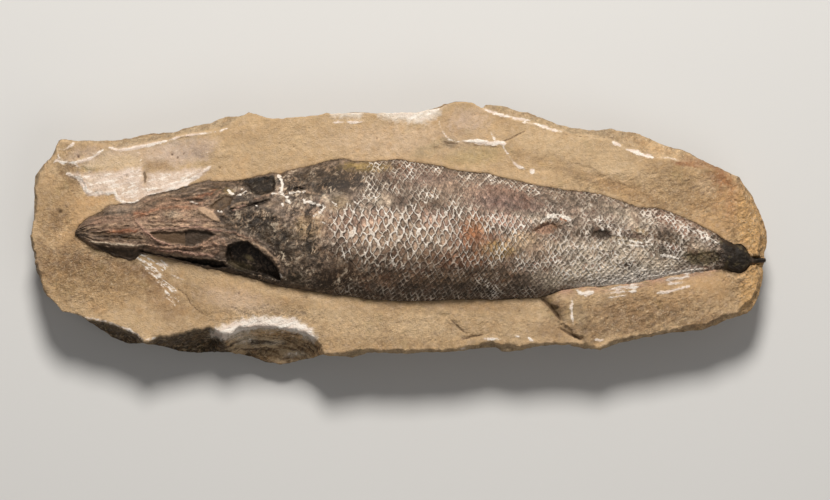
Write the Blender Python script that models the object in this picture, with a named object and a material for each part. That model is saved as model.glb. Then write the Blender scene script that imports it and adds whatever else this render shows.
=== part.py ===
"""Fossil fish in a split limestone nodule, lying on its flat back with the fish uppermost.

Two pieces: the nodule (half a concretion, with the bed that the fish lies in) and the fish (petrified body).
+X runs from the snout to the tail, +Y towards the fish's back, +Z out of the split face.
The origin is the middle of the nodule's footprint, on the surface it rests on.
Lengths below are in millimetres; MM turns them into Blender's metres.
"""

import bisect
import math

import bmesh
import bpy
from mathutils import Vector, noise

MM = 0.001

# ---------------------------------------------------------------- the nodule
# Outline of the split face: four sides that meet at its four corners, each from left to right or upwards.
TOP_SIDE = [
    (-99.0, 27.5), (-94.0, 27.0), (-85.0, 27.0), (-78.0, 27.7), (-70.0, 28.8), (-63.5, 30.1),
    (-60.5, 31.2), (-53.0, 33.0), (-49.5, 34.2), (-47.0, 34.2), (-44.2, 35.2), (-40.0, 34.0),
    (-36.0, 33.4), (-28.0, 33.7), (-20.0, 34.9), (-12.0, 35.1), (5.0, 35.2), (12.0, 36.7), (16.0, 38.2),
    (19.0, 38.5), (21.5, 38.0), (24.2, 36.5), (25.3, 37.6), (30.0, 37.3), (36.0, 35.3), (44.0, 32.6),
    (50.0, 30.8), (57.5, 29.9), (61.5, 30.5), (65.0, 29.8), (69.5, 29.4), (75.0, 27.0), (79.0, 25.3),
    (85.0, 23.2), (90.0, 20.7), (94.0, 18.5), (99.2, 16.5),
]
RIGHT_SIDE = [
    (102.3, -23.2), (105.0, -19.5), (106.3, -14.0), (106.2, -11.5), (106.9, -7.0), (107.9, -2.5),
    (107.2, 2.3), (105.0, 7.2), (102.6, 11.6), (99.2, 16.5),
]
BOTTOM_SIDE = [
    (-98.0, -22.7), (-93.0, -25.0), (-88.0, -28.2), (-83.0, -31.0), (-80.0, -32.2), (-74.0, -32.4),
    (-68.0, -33.8), (-62.5, -35.2), (-50.0, -35.1), (-44.0, -37.0), (-36.0, -38.5), (-29.0, -37.6),
    (-23.5, -35.6), (-17.0, -35.8), (-14.0, -36.2), (-10.0, -35.1), (-4.0, -34.6), (5.0, -35.2),
    (15.0, -34.6), (22.0, -33.6), (26.0, -32.8), (31.0, -34.0), (35.0, -34.0), (41.0, -32.9),
    (47.0, -32.2), (52.0, -33.2), (58.5, -33.8), (63.0, -31.8), (70.0, -30.2), (80.0, -28.6),
    (86.0, -28.2), (90.0, -26.8), (95.0, -24.8), (102.3, -23.2),
]
LEFT_SIDE = [
    (-98.0, -22.7), (-102.0, -19.0), (-103.6, -17.0), (-104.4, -14.0), (-106.5, -9.0), (-107.0, -5.0),
    (-107.8, -1.5), (-106.6, 5.0), (-106.3, 10.0), (-106.5, 16.8), (-102.5, 20.5), (-100.0, 24.5),
    (-99.0, 27.5),
]

FACE_LEVEL = 19.0  # height of the split face above the surface it rests on
SPINE_ENDS = ((-70.0, 2.0), (74.0, -3.0))  # the nodule's back narrows towards this line
BACK_NARROWING = 0.42  # share of the way to the spine by which the back is narrower than the face
WALL_ROWS = 9
WALL_CURVE = 2.3  # the higher this is, the longer the wall stays upright below the face
SAWN_BELOW = 1.2  # the back is built this much too deep, then cut to a flat seat
FACE_COLUMNS, FACE_ROWS = 176, 72
NODULE_TRIANGLES = 3500
EDGE_CROWDING = 0.55  # share by which rows of the face crowd towards its rim

# Where the face breaks away towards the rim: the crest of each break, how far the surface falls beyond it and
# over what distance. The fall is on the right-hand side for someone who walks along the crest.
BREAKS = {
    "upper_left_bevel": dict(
        crest=[
            (-47.0, 33.4), (-50.0, 31.2), (-56.0, 29.9), (-65.0, 28.0), (-72.0, 26.2), (-80.0, 25.0),
            (-90.0, 25.2), (-99.0, 26.2),
        ],
        fall=4.5, run=4.5),
    "left_shoulder": dict(
        crest=[(-98.0, 26.0), (-101.0, 20.6), (-105.0, 16.0), (-105.2, 9.0), (-105.7, 3.0), (-106.4, -1.5)],
        fall=4.0, run=2.6),
    "left_foot": dict(
        crest=[(-106.4, -1.0), (-104.9, -6.0), (-104.2, -11.0), (-103.6, -16.0)],
        fall=7.0, run=2.2),
    "first_flake_scar": dict(
        crest=[(-94.0, -24.2), (-87.0, -25.3), (-81.0, -27.3), (-76.5, -29.6), (-74.2, -31.9)],
        fall=10.0, run=4.5),
    "second_flake_scar": dict(
        crest=[
            (-74.0, -31.9), (-70.0, -30.2), (-64.0, -28.9), (-59.5, -27.5), (-55.5, -27.3), (-51.8, -29.2),
            (-50.0, -35.0),
        ],
        fall=12.0, run=5.5),
    "third_flake_scar": dict(
        crest=[
            (-51.8, -30.5), (-48.0, -28.4), (-41.0, -27.2), (-33.0, -27.3), (-27.0, -29.0), (-22.8, -31.5),
            (-20.6, -35.0),
        ],
        fall=12.0, run=7.5),
    "lower_middle_edge": dict(
        crest=[
            (-20.6, -34.6), (-10.0, -33.4), (5.0, -33.4), (18.0, -33.0), (27.0, -31.0), (36.0, -31.2),
            (44.0, -31.2), (53.0, -31.6),
        ],
        fall=4.5, run=2.6),
    "lower_right_edge": dict(
        crest=[(53.0, -32.0), (60.0, -30.5), (70.0, -28.0), (80.0, -26.4), (90.0, -24.4), (100.0, -20.5)],
        fall=5.0, run=4.0),
    "right_end": dict(
        crest=[(98.0, -22.0), (101.5, -17.0), (102.5, -9.0), (103.0, 0.0), (100.0, 8.0), (96.0, 16.5)],
        fall=5.5, run=6.0),
    "upper_right_bevel": dict(
        crest=[
            (96.0, 16.5), (88.0, 19.6), (82.0, 21.2), (74.0, 22.6), (66.0, 25.0), (60.0, 27.8),
            (48.0, 29.3), (40.0, 31.9), (31.0, 33.4), (26.5, 35.6), (24.4, 36.9),
        ],
        fall=4.2, run=4.5),
}

# Low steps and grooves across the face. A step lifts what is on the left of its line, and fades further away.
STEPS = [
    dict(line=[(42.0, -18.0), (45.0, -22.5), (48.0, -26.2), (53.0, -30.6), (56.0, -34)], lift=1.3, reach=16),
    dict(line=[(20.5, -30.5), (17.0, -26.0), (12.0, -22.0)], lift=-0.8, reach=9.0),
    dict(line=[(49.0, 21.0), (57.0, 18.2), (64.0, 14.8)], lift=1.0, reach=9.0),
    dict(line=[(-76.0, -8.5), (-72.5, -11.5), (-69.5, -15.5), (-65.5, -20.5)], lift=-1.2, reach=10.0),
    dict(line=[(9.0, 23.5), (16.0, 25.0), (30.0, 26.0), (33.0, 21.0)], lift=1.0, reach=9.0),
    dict(line=[(-94.0, 17.0), (-90.5, 11.4), (-82.0, 11.6), (-81.0, 9.6)], lift=1.0, reach=12.0),
]
GROOVES = [
    dict(line=[(41.5, -18.0), (45.0, -22.5), (47.5, -26.0)], depth=1.2, width=1.1),
    dict(line=[(13.0, -23.0), (17.0, -26.0), (19.8, -29.6)], depth=0.9, width=0.9),
    dict(line=[(-66.0, -12.0), (-62.5, -16.5), (-57.0, -23.0)], depth=0.6, width=1.0),
    dict(line=[(11.5, 33.0), (14.5, 27.2), (20.0, 26.0)], depth=0.6, width=0.9),
]

# ---------------------------------------------------------------- the fish
SNOUT_X, STUMP_X = -93.6, 101.6  # where the body starts and ends, but for the vertebra that pokes out
SCALES_FROM_X = -17.0  # the bones of the head end and the scales begin
BACK_EDGE = [
    (-94.4, 1.0), (-92.5, 2.8), (-90.5, 4.8), (-87.5, 5.8), (-84.4, 8.3), (-79.0, 8.7), (-75.5, 9.6),
    (-73.0, 10.9), (-65.0, 12.3), (-61.0, 13.5), (-56.0, 15.3), (-50.0, 15.0), (-43.0, 16.1),
    (-36.0, 17.7), (-30.0, 19.0), (-21.0, 21.0), (-17.5, 21.7), (-11.0, 20.9), (0.0, 21.5), (5.0, 20.5),
    (12.0, 19.7), (16.0, 18.4), (25.0, 17.2), (33.0, 15.5), (42.0, 14.0), (50.0, 12.5), (58.0, 11.5),
    (65.0, 9.2), (73.0, 7.4), (79.0, 5.9), (86.0, 2.9), (93.0, -0.5), (97.0, -2.8), (99.5, -3.3),
    (101.6, -5.2),
]
BELLY_EDGE = [
    (-94.4, -0.6), (-92.0, -1.9), (-90.0, -3.0), (-87.5, -4.6), (-83.0, -6.3), (-77.0, -8.0),
    (-73.5, -6.6), (-69.0, -6.8), (-62.0, -8.9), (-55.0, -10.4), (-46.0, -11.9), (-37.0, -14.2),
    (-26.0, -16.8), (-18.0, -18.1), (-10.0, -19.1), (0.0, -19.7), (12.0, -19.2), (24.0, -19.2),
    (31.0, -19.4), (39.0, -18.9), (45.0, -17.5), (53.0, -15.8), (64.0, -14.6), (75.0, -12.9),
    (86.0, -11.2), (95.0, -10.5), (98.7, -11.8), (101.6, -9.8),
]
# How far the crest of the body stands above the face, along its length.
CREST_HEIGHT = [
    (-94.4, 1.6), (-90.0, 3.0), (-82.0, 4.4), (-70.0, 5.4), (-55.0, 6.4), (-40.0, 7.4), (-20.0, 8.8),
    (0.0, 9.6), (20.0, 9.4), (40.0, 8.2), (60.0, 6.4), (75.0, 4.8), (88.0, 3.4), (96.0, 2.8),
    (101.6, 2.0),
]
CREST_AT = 0.16  # where the crest lies across the body: -1 at the belly's edge, +1 at the back's
EDGE_STEP = 0.5  # the body's edge stands this much above the stone beside it
BACK_ROUNDNESS, BELLY_ROUNDNESS = 2.1, 3.0  # the belly stays high for longer and then drops more steeply

HEAD_STATION_PITCH = 1.8
SCALE_PITCH_AT_WAIST = 1.75  # half the length of one scale where the body is deepest
WAIST_DEPTH = 40.6  # the body's greatest depth, back to belly
SCALE_PITCH_POWER = 0.45  # scales shorten with the body's depth, but more slowly
HALF_ROWS = 18  # half-rows of scales from belly to back
SCALE_RELIEF = 0.5  # rims stand this much above the middles of the scales

BODY_SIDE_DEPTH = 3.0  # the body's sides go straight down this far into the stone
KEEL_DEPTH = 5.5  # and then narrow to a keel this much lower where the body is deepest
KEEL_SHARE = 0.55  # the keel's width as a share of the body's
KEEL_STATIONS = 17
BED_GAP = 0.45  # clearance between the fish and the bed it lies in

# Sunken openings of the skull: outline, depth and how wide their walls are.
HOLLOWS = [
    dict(
        rim=[
            (-71.8, 0.3), (-66.0, 0.7), (-58.0, 1.1), (-52.8, 0.0), (-57.0, -2.4), (-60.5, -3.7),
            (-65.0, -2.9), (-69.5, -1.4),
        ],
        depth=1.5, wall=0.8),
    dict(
        rim=[
            (-49.5, -3.2), (-46.0, -2.2), (-43.0, -2.6), (-38.0, -5.8), (-35.4, -9.0), (-34.2, -13.2),
            (-38.0, -12.9), (-46.0, -10.2), (-53.0, -8.6), (-54.0, -6.6),
        ],
        depth=3.4, wall=1.3),
    dict(
        rim=[
            (-73.0, -5.2), (-64.0, -6.2), (-54.0, -7.0), (-51.0, -9.3), (-55.0, -9.7), (-64.0, -7.7),
            (-71.0, -6.4),
        ],
        depth=2.6, wall=1.0),
    dict(
        rim=[
            (-46.6, 15.0), (-41.0, 16.0), (-36.0, 16.9), (-35.7, 11.0), (-39.0, 8.9), (-46.0, 7.0),
            (-44.3, 10.5),
        ],
        depth=1.6, wall=0.9),
    dict(rim=[(38.4, 0.8), (43.0, 3.6), (46.4, 4.4), (46.0, 1.4), (42.0, 0.2)], depth=1.1, wall=0.7),
]
# Bones that stand up from the skull, and the ridges left where the skin is folded.
RIDGES = [
    dict(line=[(-93.0, 1.0), (-84.0, 3.0), (-76.0, 2.6), (-70.0, 2.2), (-60.0, 3.0)], height=0.9, width=1.1),
    dict(line=[(-88.0, -2.8), (-80.0, -3.0), (-74.0, -3.2)], height=0.8, width=0.7),
    dict(line=[(-87.0, 5.0), (-78.0, 5.6), (-70.0, 6.4), (-60.0, 7.8)], height=0.8, width=1.3),
    dict(line=[(-74.0, -3.9), (-66.0, -4.7), (-54.0, -5.8), (-52.5, -3.0)], height=1.4, width=1.2),
    dict(line=[(-57.5, 7.8), (-54.5, 6.0), (-51.2, 3.6)], height=1.0, width=1.2),
    dict(line=[(-48.0, 6.8), (-45.5, 8.0), (-42.0, 9.0)], height=0.8, width=0.9),
    dict(line=[(-72.0, 10.2), (-63.0, 12.0), (-55.0, 14.2), (-50.0, 14.0)], height=0.9, width=1.0),
    dict(line=[(-34.9, 17.0), (-34.3, 12.2)], height=1.2, width=0.8),
    dict(line=[(-34.5, 11.5), (-27.0, 12.2), (-20.5, 9.8)], height=0.9, width=0.8),
    dict(line=[(-27.6, 9.5), (-20.8, 7.8), (-24.5, 5.4)], height=0.8, width=0.7),
    dict(line=[(-50, -0.6), (-43, -1.6), (-38, -4.6), (-34.9, -8.5), (-33.4, -13)], height=1.2, width=0.9),
    dict(line=[(38.0, 1.6), (43.0, 4.8), (47.0, 5.3), (51.0, 4.0)], height=0.8, width=0.9),
    dict(line=[(60.0, -1.6), (70.0, -3.6), (80.0, -6.4)], height=0.6, width=1.1),
]

VERTEBRA_RADII = (1.4, 0.95)
VERTEBRA_X = (99.5, 106.9)
VERTEBRA_Y, VERTEBRA_Z = -7.9, 17.2

STONE_COLOUR, FISH_COLOUR = (0.52, 0.39, 0.25, 1.0), (0.16, 0.12, 0.09, 1.0)


# ---------------------------------------------------------------- measuring along lines
def value_at(table, x):
    """The table's value at x, straight between its entries."""
    place = min(max(bisect.bisect(table, (x,)), 1), len(table) - 1)
    (x0, y0), (x1, y1) = table[place - 1], table[place]
    share = min(max((x - x0) / (x1 - x0), 0.0), 1.0)
    return y0 + (y1 - y0) * share


class Line:
    """A run of straight stretches, with the point at any share of its length."""

    def __init__(self, points):
        self.points = [Vector(p) for p in points]
        self.lengths = [0.0]
        for a, b in zip(self.points, self.points[1:]):
            self.lengths.append(self.lengths[-1] + (b - a).length)

    def at(self, share):
        target = share * self.lengths[-1]
        i = min(max(bisect.bisect(self.lengths, target), 1), len(self.points) - 1)
        a, b = self.lengths[i - 1], self.lengths[i]
        return self.points[i - 1].lerp(self.points[i], (target - a) / (b - a))

    def nearest(self, place):
        """(distance, side) from the line to place; side is positive on the left of it."""
        best, side = math.inf, 1.0
        for a, b in zip(self.points, self.points[1:]):
            run = b - a
            share = min(max((place - a).dot(run) / run.length_squared, 0.0), 1.0)
            away = place - (a + run * share)
            if away.length < best:
                best = away.length
                side = 1.0 if run.x * (place - a).y - run.y * (place - a).x > 0 else -1.0
        return best, side


def smooth(share):
    """0 below 0, 1 above 1, and an even curve between."""
    share = min(max(share, 0.0), 1.0)
    return share * share * (3 - 2 * share)


def inside(rim, place):
    """Whether place lies within the closed outline rim."""
    count = 0
    for (x0, y0), (x1, y1) in zip(rim, rim[1:] + rim[:1]):
        if (y0 > place.y) != (y1 > place.y) and place.x < x0 + (place.y - y0) * (x1 - x0) / (y1 - y0):
            count += 1
    return count % 2 == 1


def roughness(x, y, z, size, seed):
    """Repeatable noise from -1 to 1 with features about size across."""
    return noise.fractal(Vector((x / size, y / size, z / size + seed)), 0.9, 2.0, 4)


# ---------------------------------------------------------------- the split face
BREAK_LINES = [(Line(b["crest"]), b["fall"], b["run"]) for b in BREAKS.values()]
STEP_LINES = [(Line(s["line"]), s["lift"], s["reach"]) for s in STEPS]
GROOVE_LINES = [(Line(g["line"]), g["depth"], g["width"]) for g in GROOVES]


def face_height(x, y):
    """Height of the stone's split face at (x, y)."""
    place = Vector((x, y))
    height = FACE_LEVEL + 0.35 * roughness(x, y, 0, 22, 1) + 0.18 * roughness(x, y, 0, 6, 5)
    for line, lift, reach in STEP_LINES:
        away, side = line.nearest(place)
        if side > 0:
            height += lift * smooth(away / 0.8) * (1 - smooth(away / reach))
    for line, depth, width in GROOVE_LINES:
        away, _ = line.nearest(place)
        height -= depth * math.exp(-((away / width) ** 2))
    fall_here = 0.0
    for line, fall, run in BREAK_LINES:
        away, side = line.nearest(place)
        if side < 0 and away < 14:
            fall_here = max(fall_here, fall * (1 - math.exp(-away / run)) / (1 - math.exp(-1)))
    return height - min(fall_here, 12.5)


def face_point(u, v):
    """The point of the face at share u from left to right and v from bottom to top."""
    bottom, top = SIDES["bottom"].at(u), SIDES["top"].at(u)
    left, right = SIDES["left"].at(v), SIDES["right"].at(v)
    corners = (
        SIDES["bottom"].points[0] * (1 - u) * (1 - v) + SIDES["bottom"].points[-1] * u * (1 - v)
        + SIDES["top"].points[0] * (1 - u) * v + SIDES["top"].points[-1] * u * v
    )
    return bottom * (1 - v) + top * v + left * (1 - u) + right * u - corners


SIDES = dict(top=Line(TOP_SIDE), bottom=Line(BOTTOM_SIDE), left=Line(LEFT_SIDE), right=Line(RIGHT_SIDE))


def crowd(share):
    """Shares spaced more closely near 0 and 1."""
    return (1 - EDGE_CROWDING) * share + EDGE_CROWDING * (0.5 - 0.5 * math.cos(math.pi * share))


# ---------------------------------------------------------------- the fish's surface
def crest_profile(across):
    """Share of the crest's height at a place across the body: -1 at the belly's edge, +1 at the back's."""
    if across > CREST_AT:
        out, power = (across - CREST_AT) / (1 - CREST_AT), BACK_ROUNDNESS
    else:
        out, power = (CREST_AT - across) / (1 + CREST_AT), BELLY_ROUNDNESS
    return max(1 - min(out, 1.0) ** power, 0.0) ** 0.75


HOLLOW_RIMS = [(Line(h["rim"] + h["rim"][:1]), h["rim"], h["depth"], h["wall"]) for h in HOLLOWS]
RIDGE_LINES = [(Line(r["line"]), r["height"], r["width"]) for r in RIDGES]


def fish_height(x, y, across):
    """Height of the fish's surface, with the skull's bones and openings but without the scales."""
    place = Vector((x, y))
    height = face_height(x, y) + EDGE_STEP + value_at(CREST_HEIGHT, x) * crest_profile(across)
    for line, rise, width in RIDGE_LINES:
        away, _ = line.nearest(place)
        height += rise * math.exp(-((away / width) ** 2))
    for line, rim, depth, wall in HOLLOW_RIMS:
        if inside(rim, place):
            height -= depth * smooth(line.nearest(place)[0] / wall)
    if x < SCALES_FROM_X:
        height += 0.35 * noise.noise(Vector((x / 9, y / 1.6, 3)))
    return height


def stations():
    """Places along the body: even over the head, then a half scale apart, closer as the body narrows."""
    places = []
    x = SNOUT_X
    while x < STUMP_X - 0.6:
        places.append(x)
        if x < SCALES_FROM_X:
            x += HEAD_STATION_PITCH
        else:
            depth = value_at(BACK_EDGE, x) - value_at(BELLY_EDGE, x)
            x += SCALE_PITCH_AT_WAIST * (depth / WAIST_DEPTH) ** SCALE_PITCH_POWER
    return places + [STUMP_X]


# ---------------------------------------------------------------- building
def clear_scene():
    for obj in list(bpy.data.objects):
        bpy.data.objects.remove(obj, do_unlink=True)


def collection(name):
    made = bpy.data.collections.new(name)
    bpy.context.scene.collection.children.link(made)
    return made


def material(name, colour, roughness_value):
    made = bpy.data.materials.new(name)
    made.use_nodes = True
    shader = made.node_tree.nodes["Principled BSDF"]
    shader.inputs["Base Color"].default_value = colour
    shader.inputs["Roughness"].default_value = roughness_value
    shader.inputs["Metallic"].default_value = 0.0
    return made


def object_from(bm, name, home):
    """A new object in the collection home from bm, whose points are in millimetres."""
    bmesh.ops.recalc_face_normals(bm, faces=bm.faces)
    bmesh.ops.scale(bm, vec=(MM, MM, MM), verts=bm.verts)
    mesh = bpy.data.meshes.new(name)
    bm.to_mesh(mesh)
    bm.free()
    obj = bpy.data.objects.new(name, mesh)
    home.objects.link(obj)
    return obj


def applied(obj):
    """obj with its modifiers made part of its mesh."""
    graph = bpy.context.evaluated_depsgraph_get()
    baked = bpy.data.meshes.new_from_object(obj.evaluated_get(graph))
    obj.modifiers.clear()
    obj.data = baked
    return obj


def combine(obj, tool, operation):
    """A Boolean of obj with tool, applied."""
    change = obj.modifiers.new(operation.title(), "BOOLEAN")
    change.operation = operation
    change.object = tool
    change.solver = "EXACT"
    return applied(obj)


def grid(columns, rows):
    """A flat bmesh grid from (0, 0) to (1, 1)."""
    bm = bmesh.new()
    bmesh.ops.create_grid(bm, x_segments=columns, y_segments=rows, size=0.5)
    bmesh.ops.translate(bm, vec=(0.5, 0.5, 0), verts=bm.verts)
    return bm


def extruded_rim(bm, rim_edges, place):
    """Adds a row of faces beyond rim_edges, moves each new vertex to place(vertex) and returns the new rim."""
    made = bmesh.ops.extrude_edge_only(bm, edges=rim_edges)["geom"]
    fresh = {g for g in made if isinstance(g, bmesh.types.BMVert)}
    for vert in fresh:
        vert.co = place(vert)
    return [g for g in made if isinstance(g, bmesh.types.BMEdge) and fresh.issuperset(g.verts)]


def wall_point(top, row):
    """The point of the nodule's wall in the given row below the rim point top."""
    share = (row + 1) / WALL_ROWS
    start, end = Vector(SPINE_ENDS[0]), Vector(SPINE_ENDS[1])
    run, flat = end - start, top.xy
    along = min(max((flat - start).dot(run) / run.length_squared, 0.0), 1.0)
    height = top.z * (1 - share) - SAWN_BELOW * share
    inset = 0.030 * roughness(flat.x, flat.y, height, 17, 9) + 0.012 * roughness(flat.x, flat.y, height, 5, 2)
    inset = BACK_NARROWING * share**WALL_CURVE + inset * math.sin(math.pi * min(share * 1.2, 1))
    moved = flat.lerp(start + run * along, inset)
    return Vector((moved.x, moved.y, height))


def build_nodule(home):
    """The half concretion: relief face, broken rim, rounded back and flat seat."""
    bm = grid(FACE_COLUMNS, FACE_ROWS)
    for vert in bm.verts:
        flat = face_point(crowd(vert.co.x), crowd(vert.co.y))
        vert.co = (flat.x, flat.y, face_height(flat.x, flat.y))
    below = bm.verts.layers.int.new("rim point above")
    rim = [v.co.copy() for v in bm.verts if v.is_boundary]
    for number, vert in enumerate(v for v in bm.verts if v.is_boundary):
        vert[below] = number
    edges = [e for e in bm.edges if e.is_boundary]
    for row in range(WALL_ROWS):
        edges = extruded_rim(bm, edges, lambda vert, row=row: wall_point(rim[vert[below]], row))
    bmesh.ops.edgeloop_fill(bm, edges=edges)
    nodule = object_from(bm, "nodule", home)
    thin = nodule.modifiers.new("Thin out", "DECIMATE")
    built = 2 * FACE_COLUMNS * FACE_ROWS + 4 * WALL_ROWS * (FACE_COLUMNS + FACE_ROWS)
    thin.ratio = NODULE_TRIANGLES / built
    applied(nodule)
    saw_flat(nodule)
    return nodule


def saw_flat(obj):
    """Cuts obj off at height 0 and closes the cut with one flat face."""
    bm = bmesh.new()
    bm.from_mesh(obj.data)
    made = bmesh.ops.bisect_plane(
        bm, geom=bm.verts[:] + bm.edges[:] + bm.faces[:], plane_no=(0, 0, -1), clear_outer=True
    )
    edges = [g for g in made["geom_cut"] if isinstance(g, bmesh.types.BMEdge)]
    bmesh.ops.edgeloop_fill(bm, edges=edges)
    bmesh.ops.recalc_face_normals(bm, faces=bm.faces)
    bm.to_mesh(obj.data)
    bm.free()


def body_ring(xs, gap, depth, width_share):
    """A closed ring of points round the body at the places xs, gap outside it and depth(x) below the face."""
    back, belly = [], []
    for x in xs:
        top, low = value_at(BACK_EDGE, x), value_at(BELLY_EDGE, x)
        middle, level = (top + low) / 2, min(face_height(x, top), face_height(x, low)) - depth(x)
        back.append(Vector((x, middle + (top - middle) * width_share, level)))
        belly.append(Vector((x, middle + (low - middle) * width_share, level)))
    return grown(belly + back[::-1], gap)


def grown(ring, gap):
    """The anticlockwise ring with each point moved outwards so that its sides lie gap further out."""
    moved = []
    for before, here, after in zip(ring[-1:] + ring[:-1], ring, ring[1:] + ring[:1]):
        sides = [(here - before).xy.normalized(), (after - here).xy.normalized()]
        out = Vector((sides[0].y + sides[1].y, -sides[0].x - sides[1].x)) / 2
        out *= gap / max(out.length_squared, 0.35)
        moved.append(Vector((here.x + out.x, here.y + out.y, here.z)))
    return moved


def keel_depth(x):
    """How far below the face the keel lies: deepest where the body is."""
    share = (value_at(BACK_EDGE, x) - value_at(BELLY_EDGE, x)) / WAIST_DEPTH
    return BODY_SIDE_DEPTH + 1.0 + KEEL_DEPTH * share


def evenly(count, first, last):
    return [first + (last - first) * i / (count - 1) for i in range(count)]


def keel_places():
    return evenly(KEEL_STATIONS, SNOUT_X + 2.0, STUMP_X - 2.0)


def ring_edges(bm, points):
    verts = [bm.verts.new(p) for p in points]
    return [bm.edges.new((a, b)) for a, b in zip(verts, verts[1:] + verts[:1])]


def scale_lift(column, row, first_scale_column, columns):
    """The scales' rims cross where column + row is even, and their middles lie between."""
    if column <= first_scale_column or row in (0, HALF_ROWS) or column > columns - 3:
        return 0.0
    return SCALE_RELIEF / 2 if (column + row) % 2 == 0 else -SCALE_RELIEF / 2


def body_side_point(vert):
    """Straight below a vertex of the body's edge, inside the stone."""
    x, y, _ = vert.co
    return Vector((x, y, face_height(x, y) - BODY_SIDE_DEPTH))


def build_fish(home):
    """The petrified body: skull bones and openings, rows of scales, and a keel that lies in the stone."""
    places = stations()
    first_scale = sum(x < SCALES_FROM_X for x in places)
    bm = grid(len(places) - 1, HALF_ROWS)
    for vert in bm.verts:
        column, row = round(vert.co.x * (len(places) - 1)), round(vert.co.y * HALF_ROWS)
        x, across = places[column], 2 * row / HALF_ROWS - 1
        low, top = value_at(BELLY_EDGE, x), value_at(BACK_EDGE, x)
        y = low + (top - low) * (across + 1) / 2
        height = fish_height(x, y, across) + scale_lift(column, row, first_scale, len(places))
        vert.co = (x, y, height)
        vert.index = 1 if (column + row) % 2 == 0 else 0
    for face in list(bm.faces):
        rims = [v for v in face.verts if v.index == 1]
        bmesh.utils.face_split(face, rims[0], rims[1])
    edge = [e for e in bm.edges if e.is_boundary]
    lower = extruded_rim(bm, edge, body_side_point)
    keel = ring_edges(bm, body_ring(keel_places(), 0.0, keel_depth, KEEL_SHARE))
    bmesh.ops.bridge_loops(bm, edges=lower + keel)
    bmesh.ops.edgeloop_fill(bm, edges=keel)
    fish = object_from(bm, "fish", home)
    return fish


def vertebra(home):
    """The end of the backbone, a short round rod along X that narrows outwards."""
    bm = bmesh.new()
    first, last = VERTEBRA_X
    wide, narrow = VERTEBRA_RADII
    bmesh.ops.create_cone(bm, cap_ends=True, segments=8, radius1=wide, radius2=narrow, depth=last - first)
    obj = object_from(bm, "vertebra", home)
    obj.rotation_euler = (0, math.radians(90), 0)
    obj.location = ((first + last) / 2 * MM, VERTEBRA_Y * MM, VERTEBRA_Z * MM)
    return obj


def vertebra_trench(home):
    """The space that the end of the backbone takes in the stone, open above and towards the rim."""
    low, high = Vector((VERTEBRA_X[0], VERTEBRA_Y, VERTEBRA_Z)), Vector((VERTEBRA_X[1] + 4, VERTEBRA_Y, 60.0))
    room = VERTEBRA_RADII[0] + BED_GAP
    low, high = low - Vector((0, room, room)), high + Vector((0, room, 0))
    bm = bmesh.new()
    bmesh.ops.create_cube(bm, size=1.0)
    bmesh.ops.scale(bm, vec=high - low, verts=bm.verts)
    bmesh.ops.translate(bm, vec=(high + low) / 2, verts=bm.verts)
    return object_from(bm, "vertebra_trench", home)


def hide(obj):
    obj.hide_render = True
    obj.display_type = "WIRE"


def bed_cutter(home):
    """The space that the fish takes in the stone, BED_GAP larger all round and open above."""
    places = stations()
    xs = [x for i, x in enumerate(places[:-1]) if i % 2 == 0 or not SCALES_FROM_X < x < 88] + [STUMP_X]
    bm = bmesh.new()
    room = BED_GAP + 0.5
    sky = ring_edges(bm, [Vector((p.x, p.y, 60.0)) for p in body_ring(xs, BED_GAP, lambda x: 0, 1.0)])
    side = ring_edges(bm, body_ring(xs, BED_GAP, lambda x: BODY_SIDE_DEPTH + room, 1.0))
    keel = ring_edges(bm, body_ring(keel_places(), BED_GAP, lambda x: keel_depth(x) + room, KEEL_SHARE))
    bmesh.ops.bridge_loops(bm, edges=sky + side)
    bmesh.ops.bridge_loops(bm, edges=side + keel)
    bmesh.ops.edgeloop_fill(bm, edges=sky)
    bmesh.ops.edgeloop_fill(bm, edges=keel)
    bmesh.ops.triangulate(bm, faces=bm.faces)
    return object_from(bm, "bed_space", home)


def build():
    clear_scene()
    parts, cutters = collection("fossil fish nodule"), collection("cutters")
    nodule, fish = build_nodule(parts), build_fish(parts)
    bed = bed_cutter(cutters)
    bone, trench = vertebra(cutters), vertebra_trench(cutters)
    bpy.context.view_layer.update()
    combine(fish, bone, "UNION")
    combine(nodule, bed, "DIFFERENCE")
    combine(nodule, trench, "DIFFERENCE")
    for helper in (bed, bone, trench):
        hide(helper)
    nodule.data.materials.clear()
    fish.data.materials.clear()
    nodule.data.materials.append(material("limestone", STONE_COLOUR, 0.85))
    fish.data.materials.append(material("petrified fish", FISH_COLOUR, 0.6))


build()
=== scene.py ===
"""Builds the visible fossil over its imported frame: the nodule, the fish petrified in it, and a plain stage.

+X runs from the fish's snout to its tail, +Y towards its back and +Z out of the nodule's split face.
Lengths and places are in millimetres, and become metres when a mesh is made.
"""

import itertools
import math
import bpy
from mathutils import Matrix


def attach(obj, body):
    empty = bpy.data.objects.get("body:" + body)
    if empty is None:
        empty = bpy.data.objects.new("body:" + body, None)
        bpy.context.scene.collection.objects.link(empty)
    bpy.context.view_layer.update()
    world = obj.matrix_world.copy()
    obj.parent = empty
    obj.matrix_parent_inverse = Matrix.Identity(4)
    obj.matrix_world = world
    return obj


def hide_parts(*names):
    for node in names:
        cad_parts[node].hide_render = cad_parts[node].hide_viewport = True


bl_info = {
    "name": "Fossil Fish Nodule",
    "version": (1, 0, 0),
    "blender": (4, 5, 0),
    "location": "View3D > Sidebar > Fossil",
    "description": "Builds a split limestone nodule with a scaled fish petrified in its face",
    "category": "Add Mesh",
}

import bpy
import numpy as np
from bpy.props import FloatProperty, FloatVectorProperty, IntProperty, PointerProperty
from mathutils import Vector

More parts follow.
